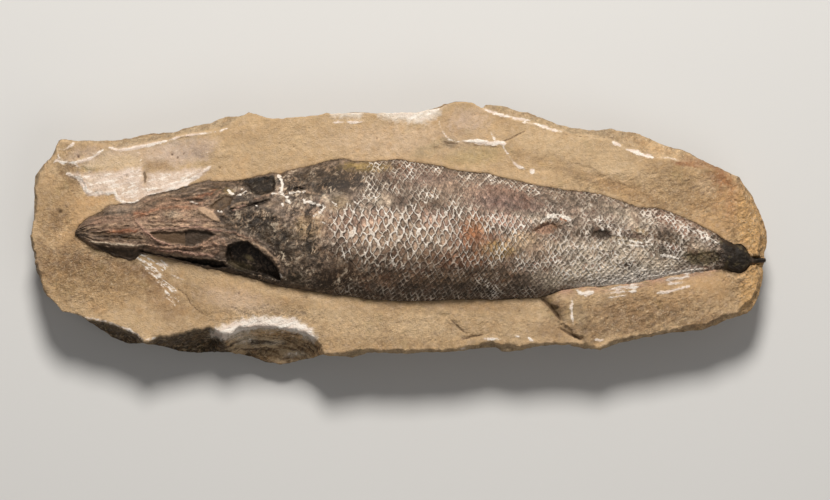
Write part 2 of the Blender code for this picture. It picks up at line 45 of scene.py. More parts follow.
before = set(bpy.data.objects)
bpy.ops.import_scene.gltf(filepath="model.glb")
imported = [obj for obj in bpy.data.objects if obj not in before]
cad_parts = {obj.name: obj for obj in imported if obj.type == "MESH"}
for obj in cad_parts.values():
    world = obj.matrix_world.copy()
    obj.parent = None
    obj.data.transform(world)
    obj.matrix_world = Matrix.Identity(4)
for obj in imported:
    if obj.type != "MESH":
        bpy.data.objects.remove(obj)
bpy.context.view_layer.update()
MM = 0.001

# ---- the nodule's shape ----
# The nodule's outline seen from above, clockwise from its left tip.
OUTLINE = [
    (-107.7, -1.2), (-107, 0.5), (-106.5, 5), (-106.5, 10), (-106.3, 16.9), (-103.6, 20), (-101.3, 22.7),
    (-100.1, 24.8), (-99.3, 27), (-98.6, 27.6), (-93.2, 27), (-84.9, 27.1), (-77, 27.7), (-71.2, 28.5),
    (-65, 29.6), (-61.2, 31), (-55, 32.4), (-51.1, 34), (-46.8, 34.2), (-43.8, 35.2), (-41.1, 34.3),
    (-37.4, 33.4), (-32, 33.7), (-25, 34.2), (-20.4, 34.9), (-10, 35.1), (4.8, 35.1), (6.7, 35.6),
    (12.1, 36.6), (15.9, 38), (19.6, 38.4), (22.9, 37.3), (24.1, 36.6), (25.4, 37.6), (30, 37.4),
    (33.7, 36.2), (40, 34.1), (45, 32.4), (50, 30.9), (58, 30), (61.5, 30.6), (65.1, 29.8), (69.7, 29.4),
    (75.1, 26.9), (79, 25.3), (85.1, 23.3), (90, 20.7), (95, 18.3), (99.2, 16.6), (100.3, 15), (103.4, 10.6),
    (105.9, 5.5), (107.1, 2.4), (107.8, -1), (107.5, -3.5), (106.9, -5.8), (106.9, -8.2), (106.2, -10.3),
    (106.4, -12.8), (105.2, -18.2), (102.7, -22.4), (101.7, -23.3), (97.1, -24.7), (93, -26.4), (88.4, -28.1),
    (81.7, -28.6), (73.8, -29.9), (64.7, -31.6), (61.2, -33), (58.7, -33.9), (54.3, -33.4), (50, -32.6),
    (45, -32.4), (39.5, -33), (35, -34.2), (30, -34.1), (28.5, -33.1), (23.7, -33.4), (18.8, -34.2),
    (12.9, -34.8), (7.7, -34.5), (3.4, -35.1), (-5, -34.7), (-9.5, -34.8), (-13.7, -36.1), (-16.6, -35.8),
    (-22, -35.4), (-26, -36.5), (-30, -37.7), (-34.9, -38.6), (-38.6, -38.1), (-44.5, -36.1), (-50, -34.9),
    (-58.7, -35), (-62, -35.1), (-65, -34.6), (-71.6, -32.5), (-74, -31.9), (-80.5, -32.2), (-84.9, -30.3),
    (-90.3, -25.9), (-91.8, -24.4), (-96.1, -22.9), (-98, -22.7), (-100, -20.1), (-103.6, -17.2),
    (-104, -15.1), (-105.9, -11.1), (-106.9, -5.7), (-107.5, -3.2),
]
SPINE = [(-84, 0.8), (93, -6.2)]  # the line that both outlines are drawn in towards
BELOW_SEAT = 1.2  # how far below the seat the wall would end if it ran on
BED_FLOOR, BED_SILL = 9.2, 15.6  # heights of the floor of the fish's bed and of the top of its side
# The trench past the bed's end, in which the stub of the backbone lies.
TRENCH_BEGINS, TRENCH_MIDDLE, TRENCH_HALF_WIDTH, TRENCH_FLOOR = 99.5, -7.9, 1.3, 15.9

# Where the face breaks away to the rim, on the right-hand side of each crest:
# (crest, how far it falls, over what run).
BREAKS = [
    ([(-47, 33.4), (-50, 31.2), (-52.1, 30.2), (-58.3, 29.4), (-63.7, 28.7), (-67, 27.4), (-70.8, 26.6),
     (-74.9, 25.8), (-78.7, 24.9), (-81.6, 24.8), (-84.5, 25.5), (-90, 26.3), (-98, 27)], 3.2, 2.2),
    ([(-98.8, 26.5), (-100.3, 23), (-102.4, 20.2), (-104.9, 17.3), (-105.6, 9), (-106, 3), (-107, -1.2)],
     3.4, 1.8), ([(-107, -0.5), (-106, -5), (-104.8, -10.5), (-103.6, -15.4), (-102.6, -18.2)], 6, 2),
    ([(-98, -22.9), (-91.8, -24.4), (-87.8, -25.3), (-84.5, -25.9), (-81.6, -27.2), (-78.7, -28.2),
     (-76.2, -29.6), (-74.1, -31.8)], 9, 3.4),
    ([(-74.1, -31.8), (-70.4, -30.2), (-66.2, -29.4), (-62.5, -28.6), (-60.4, -28), (-57.5, -27.5),
     (-55, -27.3), (-53.3, -27.9), (-51.4, -29.4), (-50.2, -35.4)], 11, 4.8),
    ([(-51.4, -29.6), (-48.4, -28.2), (-45.3, -27.1), (-38.6, -27), (-33.5, -27.2), (-30.3, -27.7),
     (-27.2, -29), (-24.5, -30.4), (-22.4, -32.4), (-21.2, -35.4)], 11, 7.5),
    ([(-21, -35), (-10, -33.8), (5, -33.8), (15, -33.6), (22, -32.4), (27, -31.6), (36, -32.6), (44, -31.6),
     (53, -32.2), (58, -33)], 2.2, 1.4),
    ([(58, -33.4), (64, -30.8), (73, -29), (82, -27.6), (90, -25.8), (98, -22.8), (103, -18.6)], 2.2, 1.6),
    ([(101.5, -22), (103.6, -17), (104.2, -9), (104.8, -1), (102.4, 7), (98, 15.6)], 4.8, 3.4),
    ([(98.4, 16), (92, 18.4), (86, 20), (82, 20.9), (78.4, 21.9), (74.3, 22.2), (70.5, 22.8), (68.5, 23.8),
     (66.4, 24.4), (64.3, 25.3), (62.2, 26.4), (60.1, 27.7), (53.3, 28), (47.5, 29.5), (44.6, 29.9),
     (41.7, 30.9), (40, 31.8), (35.4, 32.9), (30, 34.4), (27.9, 34.7), (25, 35.9), (23.6, 36.9)], 3.2, 3),
]
# Low steps across the face: (line, lift on its left, the reach over which the lift fades).
STEPS = [
    ([(41.2, -18.6), (43.7, -20.7), (45.8, -23.2), (47, -26), (50.4, -29.2), (53, -30.7), (56, -34)],
     1.2, 15), ([(19.6, -30.4), (18.4, -27.6), (15.8, -25.5), (11, -21.6)], -0.45, 7),
    ([(48, 21), (52.7, 19.7), (56, 18.4), (60.1, 16.3), (62.4, 15.2), (72, 11.5)], 0.35, 9),
    ([(-76.6, -8), (-74.9, -10.3), (-72, -12.8), (-69.5, -15.2), (-67, -19), (-64.5, -25)], -1, 12),
    ([(6, 23.5), (12, 25.2), (20.4, 25.8), (30, 25.2), (33.3, 20.9), (36.6, 18.4)], 0.3, 8),
    ([(-96.6, 17.4), (-93, 16), (-91.4, 14), (-90.7, 11.5), (-88, 11.2), (-84.6, 11.8), (-82, 11.6),
     (-81.7, 9.4)], 0.28, 9),
    ([(-73.8, 10.6), (-70.5, 11.8), (-65.7, 13), (-62.3, 14.7), (-58.9, 16.6), (-55, 19.4)], 0.3, 6),
    ([(-100, 8.6), (-97.6, 7.6), (-96.2, 5), (-96.4, 1)], 0.15, 6),
    ([(-44, 33.4), (-46.4, 30.4), (-50.5, 27.6), (-57, 25.2), (-60, 25.8)], 0.35, 8),
    ([(73, 28), (69.8, 25.4), (68.4, 24)], 0.4, 5), ([(-88, -26), (-84.5, -22.4), (-82.6, -18.6)], 0.35, 6),
]
# Grooves in the face: (line, depth, half width).
GROOVES = [
    ([(41.2, -18.4), (43.7, -20.9), (45.8, -23.3), (47.2, -25.4)], 1.2, 0.6),
    ([(47, -27.6), (49.8, -29.4), (52.8, -30.7)], 0.9, 0.4),
    ([(13.5, -23.6), (15.8, -25.7), (18, -27.8), (19.6, -29.3)], 0.5, 0.4),
    ([(18.3, -30.9), (21, -30), (24.2, -29.4)], 0.8, 0.35),
    ([(-76.5, -8.9), (-72, -12.9), (-69.2, -16), (-67.2, -19.4)], 0.45, 0.8),
    ([(-64.5, -16.1), (-62, -17.8), (-60.4, -20.7), (-57.9, -22.8), (-55.8, -24)], 0.35, 0.4),
    ([(30.4, 26.9), (32.5, 27.7), (34.5, 28.8), (36.6, 29.8)], 0.3, 0.35),
    ([(20.6, 33), (22.9, 35.2)], 0.25, 0.3), ([(47.9, 29), (53.3, 28.2), (60.1, 27.9)], 0.25, 0.35),
    ([(36, 18.6), (41, 18.2), (46, 18.5)], 0.2, 0.4), ([(-74.4, 19), (-74, 17), (-73.9, 14.6)], 0.35, 0.6),
    ([(-84.6, -8.2), (-76, -12.6), (-71, -16)], 0.2, 0.8),
]
# Smudges are ovals: x and y of the middle, half the length, half the width, and the turn in degrees.
# Places where the face is coarser: (smudge, how much).
ROUGH_GROUND = [
    (-92, -12, 18, 12, 0, 1), (72, -24.5, 28, 8.5, 0, 1.2), (82, 10, 24, 10, 0, 1), (102, -4, 8, 24, 0, 1.5),
    (0, -29, 46, 8, 0, 0.6), (-93, 19, 10, 9, 0, 1), (-38, -24.5, 18, 4, 0, 1.1), (60, 14, 16, 4, 0, 0.9),
    (-100, 2, 7, 10, 0, 0.7),
]

# ---- the nodule's colours ----
# Colours as they show on a screen.
TONES = dict(
    # the stone
    tan="c6a780", pale_tan="d6ba94", honey="c9a071", brown="a2825c", umber="5f4630", olive="9a8c58",
    rust="8c5838", grey="96876f", scar="6f614a", shell="dec6b4", gold="dbae74", apricot="e4b57f",
    soil="8d6f50", calcite="f7ede0", cream="e3cfb4", shadow="33281c",
    # the petrified fish
    tar="1d150d", olivine="30261b", lens="57432e", char="3a2e23", bark="56432f", taupe="8c7868",
    mauve="8a7064", flesh="a8836b", clay="a5694a", fox="b5703f", moss="675a40", straw="ad9256", rose="c99c88",
    sand="b8997c", slate="5c606e", ash="7a6a5a", ivory="efe4d6", rim="ead9c4",
)
# White calcite: (line, half its width).
VEINS = [
    ([(-84.5, 25.1), (-81.6, 24.5), (-78.7, 24.6), (-74.9, 25.4), (-70.8, 26.3), (-67.8, 26.9)], 0.5),
    ([(-67, 27.2), (-63.7, 28.3), (-58.3, 29), (-52.1, 29.8), (-50, 30.6)], 0.26),
    ([(-100.8, 20.4), (-99.4, 21.4), (-97.8, 20.6), (-95.3, 20.7), (-93, 20.9), (-90.3, 21.7), (-88.2, 22.9),
     (-86.2, 24.2)], 0.45), ([(-99.2, 24.6), (-97.4, 24.3), (-95.6, 25.4), (-94.4, 26.4)], 0.28),
    ([(-94.9, 20.9), (-93.6, 19.8), (-92.8, 19)], 0.28), ([(-99.4, 24), (-99, 22.2), (-98, 21.4)], 0.25),
    ([(-96.6, 17.4), (-94.4, 16.7), (-92.9, 16), (-91.4, 14.1), (-90.7, 11.8), (-88, 11.4), (-84.6, 11.9),
     (-82.7, 12.2), (-81.9, 10.3), (-80.2, 9.4)], 0.62),
    ([(-81.6, 9.7), (-79.8, 9.1), (-77.4, 9), (-75, 9.3), (-73.8, 10)], 0.5),
    ([(-73.9, 10.4), (-70.5, 11.9), (-65.7, 13.1), (-62.3, 14.8), (-58.9, 16.7), (-55, 19.2)], 0.7),
    ([(-73.2, 12.4), (-68, 13.6), (-64, 15)], 0.5),
    ([(-75.9, 23.4), (-75.2, 23), (-74.9, 22), (-75.3, 21)], 0.24),
    ([(-88, 15), (-82, 16.6), (-76, 18.8)], 0.22), ([(-86.6, 13.4), (-80, 14.6), (-76, 15.8)], 0.26),
    ([(-19, 32.4), (-17.6, 32.4), (-16, 32.5)], 0.25), ([(-15, 32.4), (-12, 32.3), (-10.6, 32.6)], 0.28),
    ([(11.5, 32.5), (12.1, 30.6), (13.1, 29), (14.4, 27.5), (16.7, 26.7), (18.3, 26.7)], 0.17),
    ([(18.3, 26.9), (20.4, 26.8), (22, 26.9)], 0.3),
    ([(21.6, 27), (24, 26.7), (27, 26.3), (29.4, 26.5)], 0.62), ([(28.4, 26.4), (30.8, 26.2)], 0.45),
    ([(30, 25.6), (31.3, 23.6), (33, 21.2), (34.6, 19.6), (35.9, 19)], 0.2),
    ([(33.6, 20.3), (34.8, 19.6), (36.4, 18.9)], 0.55), ([(38.3, 18.4), (39.4, 18)], 0.85),
    ([(26.7, 29.4), (27.5, 28), (28.1, 26.6)], 0.24),
    ([(24.6, 36.3), (26.5, 35.6), (28.5, 34.9), (31, 34.2), (35.4, 33.4), (38, 33)], 0.55),
    ([(36, 32.4), (40, 31.9), (41.7, 31.2), (44.6, 30.2), (47.3, 29.7)], 0.42),
    ([(62.2, 26.5), (63.4, 26), (64.6, 25.4)], 0.4),
    ([(65.2, 25), (66.4, 24.5), (68.5, 24), (70.5, 23), (74.3, 22.3)], 0.52),
    ([(75.2, 22.2), (78.4, 22.1), (81.7, 21.3)], 0.14), ([(50.3, -19.6), (50.2, -23), (50.6, -26.4)], 0.35),
    ([(75.2, -17.4), (77.9, -16.9), (81, -16.2), (84.5, -15.4)], 0.42),
    ([(77.6, -13.6), (80, -13.1), (84.5, -12.5)], 0.38), ([(78, -14.8), (81, -14.3), (83.4, -14)], 0.3),
    ([(61, -16.2), (66, -15.4), (70.4, -14.6)], 0.28), ([(63.4, -16.4), (66.5, -15.9), (69.8, -15.5)], 0.42),
    ([(60.4, -17.4), (64.5, -17), (69, -16.7)], 0.4), ([(60.6, -18.6), (63, -18.4), (66.4, -17.8)], 0.35),
    ([(51.6, -16.4), (53.4, -17.6), (56.4, -17.2)], 0.55),
    ([(52.6, -12.9), (56, -14.1), (60.6, -14.8)], 0.26), ([(18, -33.7), (19.6, -33.5)], 0.4),
    ([(25, -30.5), (27.4, -30.8), (29.5, -30.8)], 0.32), ([(33.6, -29.8), (34.8, -30)], 0.45),
    ([(37.5, -30.2), (39.1, -31.5)], 0.38), ([(56.5, -30.9), (59.5, -31)], 0.45),
    ([(-98, -23), (-94, -23.9), (-88.5, -24.9), (-84.8, -25.7)], 0.26),
    ([(-84.5, -25.8), (-81.6, -27), (-78.7, -28), (-76.2, -29.4), (-74.6, -31), (-72.6, -30.9),
     (-70.8, -30.2)], 0.3), ([(79, -12), (84, -11.4), (90, -10.9)], 0.24),
]
# White rays of the fin printed beside the fish: (line, half width).
FIN_RAYS = [
    ([(-75.8, -5.8), (-74.2, -6.2), (-73.2, -6.2)], 0.46),
    ([(-75.6, -7.4), (-74.6, -8), (-73.4, -8.6)], 0.42),
    ([(-73.6, -8.4), (-72.6, -8.6), (-71.8, -9.2)], 0.36), ([(-70.6, -8.7), (-69, -8.9), (-67.4, -9)], 0.42),
    ([(-69.8, -9.5), (-68.4, -9.2)], 0.26), ([(-73.8, -9.8), (-72.6, -10), (-71.6, -10.4)], 0.34),
    ([(-71.4, -10.6), (-70.4, -11.2), (-69.4, -11.8)], 0.3),
    ([(-72.4, -11.4), (-71.2, -12.2), (-69.4, -13)], 0.38), ([(-70.2, -12.2), (-69, -12.8)], 0.28),
    ([(-66.4, -11.9), (-64.6, -12.7), (-62.5, -13.5)], 0.26), ([(-66.2, -10.2), (-66.2, -10.8)], 0.22),
    ([(-70.4, -14), (-68.8, -15.4), (-67.4, -17.4), (-65.8, -19.6)], 0.24),
    ([(-69.2, -14), (-67.4, -15.2), (-66, -17.2)], 0.36),
    ([(-67.8, -14.8), (-65.6, -16), (-64.2, -17.6)], 0.26),
    ([(-66.6, -18.2), (-65.8, -19.6), (-65.2, -21.2)], 0.22), ([(-65.2, -18.4), (-64, -20.2)], 0.2),
]
# Outlines of the fans of fine white bristles.
FANS = [
    [(-76.8, -5.4), (-73, -5.6), (-70, -7.8), (-67.4, -8.2), (-67.2, -9.6), (-69, -11.8), (-71, -12.4),
     (-74, -10), (-76, -8)],
    [(-72.8, -11.4), (-69.4, -11.8), (-67, -14.2), (-64.4, -17.4), (-64.4, -20.6), (-66.2, -20.6),
     (-69, -16.6)],
]
# Crusts on the face: (outline, tone, strength, how far it is raised, how bright its calcite is).
CRUSTS = [
    ([(-96.2, 17.4), (-92.9, 16), (-91.4, 14.1), (-90.7, 11.7), (-88, 11.4), (-84.6, 11.9), (-82.7, 12.2),
     (-81.9, 10.2), (-80.2, 9.2), (-76.4, 9.2), (-73.9, 10), (-70.5, 11.7), (-65.7, 12.9), (-62.3, 14.6),
     (-58.9, 16.5), (-55, 19.2), (-59.9, 18.9), (-65.7, 18.2), (-70.5, 18), (-73.4, 17.5), (-73.6, 14.4),
     (-74.4, 14.4), (-74.5, 19.7), (-78.3, 19.7), (-82, 18.5), (-86, 18.5), (-90.7, 17.4)],
     "shell", 0.95, 0.1, 0.5),
    ([(-98, 21), (-94, 25), (-84, 25), (-75, 26), (-66, 27), (-57, 28.4), (-52, 27), (-56, 21), (-73, 20.4),
     (-90, 18.6)], "shell", 0.35, 0, 0.3),
    ([(-90, 20), (-86, 22.8), (-78, 23.4), (-74.6, 21.8), (-75, 19.4), (-82, 18.4), (-88, 18.2)],
     "pale_tan", 0.85, 0, 0),
    ([(-73.9, 21.4), (-67, 21.4), (-66.9, 18.5), (-73.6, 18.2)], "brown", 0.55, -0.05, 0),
    ([(-19.6, 34.2), (-16, 33.9), (-11, 33.8), (-10.4, 35.6), (-19.4, 35.4)], "calcite", 0.8, 0.1, 0.5),
    ([(-6, 34.3), (-3.4, 33.6), (-1, 33), (2, 32.8), (4.6, 32.1), (8, 32.3), (10.2, 33.6), (11.8, 34.6),
     (12.2, 37.2), (5, 36.4), (-5.6, 36.4)], "calcite", 0.8, 0.1, 0.55),
    ([(-55.6, -29.8), (-52.6, -27.4), (-49.9, -26.4), (-47, -25.4), (-42.8, -24.4), (-38.6, -24.2),
     (-34.5, -24.6), (-30.3, -25), (-27.8, -26.3), (-25.3, -28), (-23.9, -30.2), (-24.8, -31.6), (-27, -30),
     (-31, -28.6), (-36, -27.8), (-42, -27.8), (-47, -29), (-50.6, -31)], "calcite", 0.9, 0.15, 0.97),
    ([(99, 12), (103, 9), (108, 2), (108, -12), (104, -20), (99.5, -23), (99.6, -16), (103.2, -10),
     (102.6, -5.5), (99.6, -1.8), (98, 5)], "gold", 0.6, 0, 0),
]
# Stains and tints of the face: (smudge, tone, strength). The soil smudge at (-71, -13) and the umber one at
# (-76, -10.4) are painted shade.
STAINS = [
    (-30, 27, 40, 8, 3, "pale_tan", 0.35), (55, 24, 22, 5.5, -18, "pale_tan", 0.6),
    (64, 20, 9, 3.4, -25, "pale_tan", 0.6), (-80, 14, 20, 5, 4, "pale_tan", 0.3),
    (-93, 3.5, 6.5, 7.5, 0, "honey", 0.6), (-89, 9.6, 7, 2.4, 10, "honey", 0.7),
    (-62, 24.5, 8.5, 3, 15, "soil", 0.65), (-58, 24.6, 4.6, 1.6, 8, "umber", 0.45),
    (-62.4, 22.4, 1.2, 0.9, 0, "umber", 0.8), (-57.4, 22.4, 1, 0.7, 0, "umber", 0.9),
    (-64, 26.6, 8, 1.2, 14, "grey", 0.6), (-89.6, 19.6, 3.6, 1.7, 12, "olive", 0.8),
    (-86, 23.2, 2.6, 1.6, 30, "olive", 0.5), (-93, 24, 6, 2.2, 8, "soil", 0.5),
    (-93, 22.4, 0.8, 0.6, 0, "rust", 0.9), (-95.6, 18.2, 4, 3, -20, "umber", 0.5),
    (-95, 15, 4, 3.4, -20, "soil", 0.55), (-100.2, 3.8, 3.6, 4.2, 0, "soil", 0.75),
    (-98.5, 6.4, 0.8, 1, 0, "umber", 0.7), (-97.4, 12, 5, 6, 0, "brown", 0.5),
    (-104, 8, 3, 9, 0, "brown", 0.5), (-97, -1.6, 6, 3, 0, "honey", 0.5), (-92, -9, 16, 4.6, -8, "soil", 0.8),
    (-88, -15, 17, 7, 5, "brown", 0.75), (-100, -13, 6, 6, 0, "brown", 0.7),
    (-80, -10.2, 7, 2.4, -25, "soil", 0.7), (-78, -17, 8, 6, 0, "brown", 0.55),
    (-68, -21, 9, 5, -40, "soil", 0.65), (-58, -20, 12, 7, -20, "brown", 0.55),
    (-48, -17, 10, 4, -14, "honey", 0.35), (14.7, 26.6, 3.4, 1.5, -15, "moss", 0.75),
    (8.6, 24.4, 6, 2.4, 20, "olive", 0.35), (22, 22.8, 11, 3.4, 6, "olive", 0.4),
    (18, 31.5, 8, 5, 0, "brown", 0.4), (45, 21, 12, 3.4, -20, "brown", 0.3),
    (56, 15.8, 11, 2.4, -16, "soil", 0.3), (68, 11.6, 14, 3.6, -24, "soil", 0.28),
    (82, 12, 16, 7, -22, "brown", 0.75), (82, 17.4, 10, 3, -20, "brown", 0.6),
    (90, 13, 4.4, 2.6, -30, "cream", 0.35), (95, 4, 8, 9, -30, "brown", 0.6),
    (97.5, 10, 5, 7, 30, "honey", 0.55), (93.4, 17.2, 3.6, 2.4, -25, "rust", 0.85),
    (95.6, 14.6, 2.4, 1.6, -25, "rust", 0.6), (84, 20.2, 5, 1, -12, "rust", 0.65),
    (81, 20.3, 1.2, 0.8, 0, "rust", 0.7), (96, 8, 1.4, 1, 0, "rust", 0.5), (92, 7.4, 1.8, 1, 0, "rust", 0.4),
    (96, -17, 8, 5, 0, "brown", 0.6), (90, -14, 9, 3, 8, "honey", 0.4), (72, -22, 24, 6, 8, "soil", 0.7),
    (64, -27, 16, 4, 8, "soil", 0.6), (52, -23.5, 5, 5.5, 0, "moss", 0.55),
    (46, -22, 6, 3.4, -45, "umber", 0.75), (58, -19.8, 7, 2, 8, "tan", 0.6),
    (30, -23, 13, 4, 0, "brown", 0.45), (10, -21.4, 30, 1.8, 0, "soil", 0.35),
    (-30, -20.6, 20, 1.8, -10, "brown", 0.5), (0, -31.5, 40, 3.6, 0, "brown", 0.5),
    (38, -28, 12, 3, 0, "soil", 0.5), (-20, 30.5, 30, 2.6, 0, "tan", 0.5),
    (66, 19, 34, 6, -20, "pale_tan", 0.2), (20, -27, 46, 5, 2, "pale_tan", 0.45),
    (93, 4, 11, 17, 0, "honey", 0.55), (104, -7, 5, 17, 0, "apricot", 0.75),
    (80, -17, 18, 5, 8, "honey", 0.35), (-66, 22.5, 10, 4, 6, "shell", 0.45), (20, 33, 7, 4, 0, "shell", 0.4),
    (-83, 21, 9, 2.6, 4, "shell", 0.7), (-95, -6, 8, 6, 0, "soil", 0.45),
    # painted shade on the fan of fin rays: the soil smudge at (-71, -13)
    (-71, -13, 6, 3.6, -40, "soil", 0.7), (-46, 28.5, 10, 4, 0, "brown", 0.35),
    (2, 27, 28, 6, 0, "shell", 0.22), (64, 13.5, 12, 3, -22, "honey", 0.5),
    (75, 20, 9, 2.6, -16, "brown", 0.4), (45, -28, 7, 3.4, -10, "soil", 0.5), (60, -22, 9, 4, 8, "soil", 0.3),
    (-47, -19.5, 13, 4, -12, "shell", 0.32), (-99, 9, 8, 8, 0, "brown", 0.35),
    (93, 15.5, 6, 3, -25, "rust", 0.35), (88, 20.5, 7, 1.8, -14, "rust", 0.55),
    (97, 10, 5, 8, 10, "fox", 0.22), (90, -25, 8, 2.4, 12, "soil", 0.6), (-104, -8, 3.4, 9, 0, "soil", 0.6),
    (-72, -15, 4.4, 3, -40, "soil", 0.4), (-98, 21, 4, 3, 20, "brown", 0.3),
    (20, -27, 12, 4, 0, "brown", 0.35), (60, 22, 15, 4, -20, "brown", 0.22),
    # painted shade under the lower jaw: the umber smudge at (-76, -10.4)
    (74, 25.5, 7, 1.8, -18, "honey", 0.4), (-76, -10.4, 4.6, 2.4, -35, "umber", 0.5),
    (-57, 23.4, 5, 2.2, 10, "umber", 0.4), (-88, 22.6, 4, 1.8, 20, "brown", 0.45),
    (54, -28, 5, 3, 0, "umber", 0.4), (-20, -23, 9, 2.6, -8, "pale_tan", 0.45),
    (40, 25, 7, 3, -14, "pale_tan", 0.4), (60, 18, 6, 2.4, -20, "pale_tan", 0.4),
    (90, 18.4, 3.4, 2, -20, "brown", 0.5), (-97, -9, 6, 4, 0, "umber", 0.25),
]
# Small dark pits: (place, radius).
PITS = [
    ((-88, 11.7), 0.9), ((-86.8, 11.8), 0.5), ((-27, -18.7), 0.45), ((-46.6, -17.4), 0.35),
    ((-41, -21), 0.35), ((-83.9, -15.8), 0.45), ((-34.7, 26.2), 0.3), ((-6.4, 27.7), 0.35),
    ((-52.1, 19.1), 0.35), ((-79.2, 16.8), 0.35), ((-30.6, 25.3), 0.3), ((35, -22.6), 0.3),
    ((66.5, 27.2), 0.3), ((-93.3, 22.3), 0.5), ((-98.5, 6.3), 0.5), ((-66, 23), 0.5), ((-64.4, 22), 0.4),
    ((-62.6, 23.2), 0.4),
]
# Thin dark lines: (line, half width).
CRACKS = [
    ([(41.6, -18.9), (43.7, -20.9), (45.8, -23.3), (47, -25.2)], 0.5),
    ([(47, -27.6), (49.8, -29.3), (52.8, -30.7)], 0.36), ([(18.3, -30.9), (21, -30.1), (24.2, -29.5)], 0.24),
    ([(15, -25), (15.8, -25.7), (18, -27.8), (19.6, -29.2)], 0.22),
    ([(-64.5, -16.1), (-62, -17.8), (-60.4, -20.7), (-57.9, -22.8), (-55.8, -24)], 0.18),
    ([(30.4, 26.9), (32.5, 27.7), (34.5, 28.8), (36.6, 29.8)], 0.18),
    ([(-74.2, 18), (-73.9, 16.4), (-73.9, 14.8)], 0.42), ([(47.9, 29), (53.3, 28.2), (60.1, 27.9)], 0.1),
    ([(-77.5, -8.5), (-74, -10.9), (-71.4, -13.3), (-69.2, -15.8)], 0.16),
    ([(12.8, 26.9), (14.6, 26.3), (17.4, 26.2)], 0.2), ([(20.6, 25.8), (24.4, 25.6), (29, 25.2)], 0.14),
    ([(-70, 27), (-65, 27.6), (-60, 28.5)], 0.1),
]
# The largest chip's pale patches, and where its beds show most.
CHIP_PATCHES = [
    (-45.6, -30.6, 5.4, 3.2, -15), (-37.2, -32.2, 3.6, 1.2, 4), (-26.4, -30.2, 2.6, 1.6, -20),
    (-31, -35.6, 4, 1.2, 5),
]
CHIP_BEDS = (-41, -32.6, 9, 4, 0)

# ---- the fish's shape ----
SNOUT_END, FLANK_BEGINS, STUB_BEGINS, BED_END, STUB_END = -94.15, -17.0, 100, 102.6, 106.9  # along X
UNDERSIDE = 4  # vertices of the hidden underside in each loop round the body
BACK_EDGE = [
    (-94.2, 0.2), (-93.6, 1.5), (-92.4, 3), (-90.3, 4.7), (-88.2, 5.5), (-86.5, 6.3), (-85.3, 7.6),
    (-84, 8.2), (-79.5, 8.6), (-77, 8.8), (-74.9, 10), (-72.8, 11.1), (-69.9, 11.6), (-64.5, 12.8),
    (-60, 14.3), (-55.4, 15.4), (-52, 15.1), (-47, 15.3), (-44.5, 15.8), (-40.7, 16.7), (-37.4, 17.5),
    (-34.5, 17.3), (-32.4, 18.2), (-27, 19.4), (-24.5, 20), (-21.6, 20.9), (-17.4, 21.7), (-14.9, 21.5),
    (-13.3, 21), (-8.3, 20.8), (-5, 21.1), (-0.2, 21.6), (2.5, 21), (6.3, 20.4), (10, 19.9), (12.9, 19.4),
    (15, 18.6), (20, 17.9), (26.4, 17.3), (28.7, 16.5), (33.7, 15.5), (36.2, 14.9), (40, 13.9), (45.4, 13.2),
    (48.7, 12.5), (55, 12), (58, 11.5), (60.1, 10.9), (62.6, 10), (65.1, 9.3), (67.6, 8.2), (70.1, 7.4),
    (75.1, 7.4), (77.6, 6.7), (80.1, 5.7), (82.6, 4.7), (85.1, 3.6), (87.6, 2.4), (90, 1.1), (92.2, -0.1),
    (93.8, -1.2), (95.5, -2.2), (98, -3.2), (99.6, -3), (100.9, -4.1), (101.7, -5.7), (103.4, -6.9),
    (106.9, -7.2),
]
BELLY_EDGE = [
    (-94.2, -0.3), (-93.2, -1.2), (-91.1, -2.6), (-88.7, -4.2), (-85.8, -5.2), (-83.3, -6.4), (-80, -7.4),
    (-78.3, -7.8), (-76.6, -7.4), (-74.9, -5.9), (-72.9, -5.8), (-70.4, -6.4), (-67, -7.2), (-63.7, -8),
    (-60.4, -8.9), (-56.6, -9.9), (-53.3, -10.6), (-50, -11.2), (-47.8, -11.8), (-44.9, -12.4), (-42, -13.2),
    (-38.6, -14.3), (-35, -15.2), (-32.8, -15.6), (-30, -15.9), (-28.3, -16.4), (-25, -16.8), (-22, -17.4),
    (-18.7, -17.9), (-15.4, -18), (-12.4, -18.4), (-10, -19.1), (-3.3, -19.4), (0, -19.7), (10, -19.5),
    (14.6, -19.2), (22.9, -19), (27.1, -19.2), (35.4, -18.8), (40, -18.7), (42, -18.2), (44.5, -17.6),
    (47, -16.5), (50, -16.1), (53.3, -15.5), (59.3, -15.3), (62.6, -14.9), (66, -14.7), (70, -14.2),
    (73.4, -13.5), (76.8, -12.8), (80.1, -12.2), (83.4, -11.5), (86.3, -11.1), (89.3, -10.7), (93.8, -10.3),
    (96.7, -11.1), (98.4, -11.6), (99.6, -11.5), (100.9, -10.9), (102.3, -9.3), (104.6, -8.6), (106.9, -8.4),
]
# Heights along the body: its foot on the face, its crest above its foot, its hidden sides and underside.
FOOT = [(-95, 19.2), (96, 19.2), (101, 18.6), (103.5, 16.9), (107, 16.7)]
CREST = [
    (-94.4, 1.4), (-90, 3), (-82, 4.4), (-70, 5.4), (-55, 6.4), (-40, 7.4), (-20, 8.8), (0, 9.6), (20, 9.4),
    (40, 8.2), (60, 6.4), (75, 4.8), (88, 3.4), (96, 2.8), (101.6, 2), (103.5, 1.5), (107, 1.3),
]
CREST_AT = 0.16  # where the crest lies across the body: -1 at the belly's edge, +1 at the back's
KEEL = [(-95, 10.2), (98, 10.2), (101.5, 13), (103.5, 15.9), (107, 15.9)]
SIDE_DEPTH = [(-95, 3), (99, 3), (103, 0.5), (107, 0.5)]
# The scales: how long and how tall one is in the middle of the flank, along the body.
SCALE_PITCH = [(-50, 2.4), (8, 2.3), (20, 1.9), (30, 1.5), (45, 1.45), (62, 1.6), (90, 1.55), (110, 1.4)]
SCALE_HEIGHT = [(-50, 4.6), (4, 4.4), (18, 3.7), (32, 2.6), (48, 2.35), (66, 2.3), (90, 2.1), (110, 1.9)]
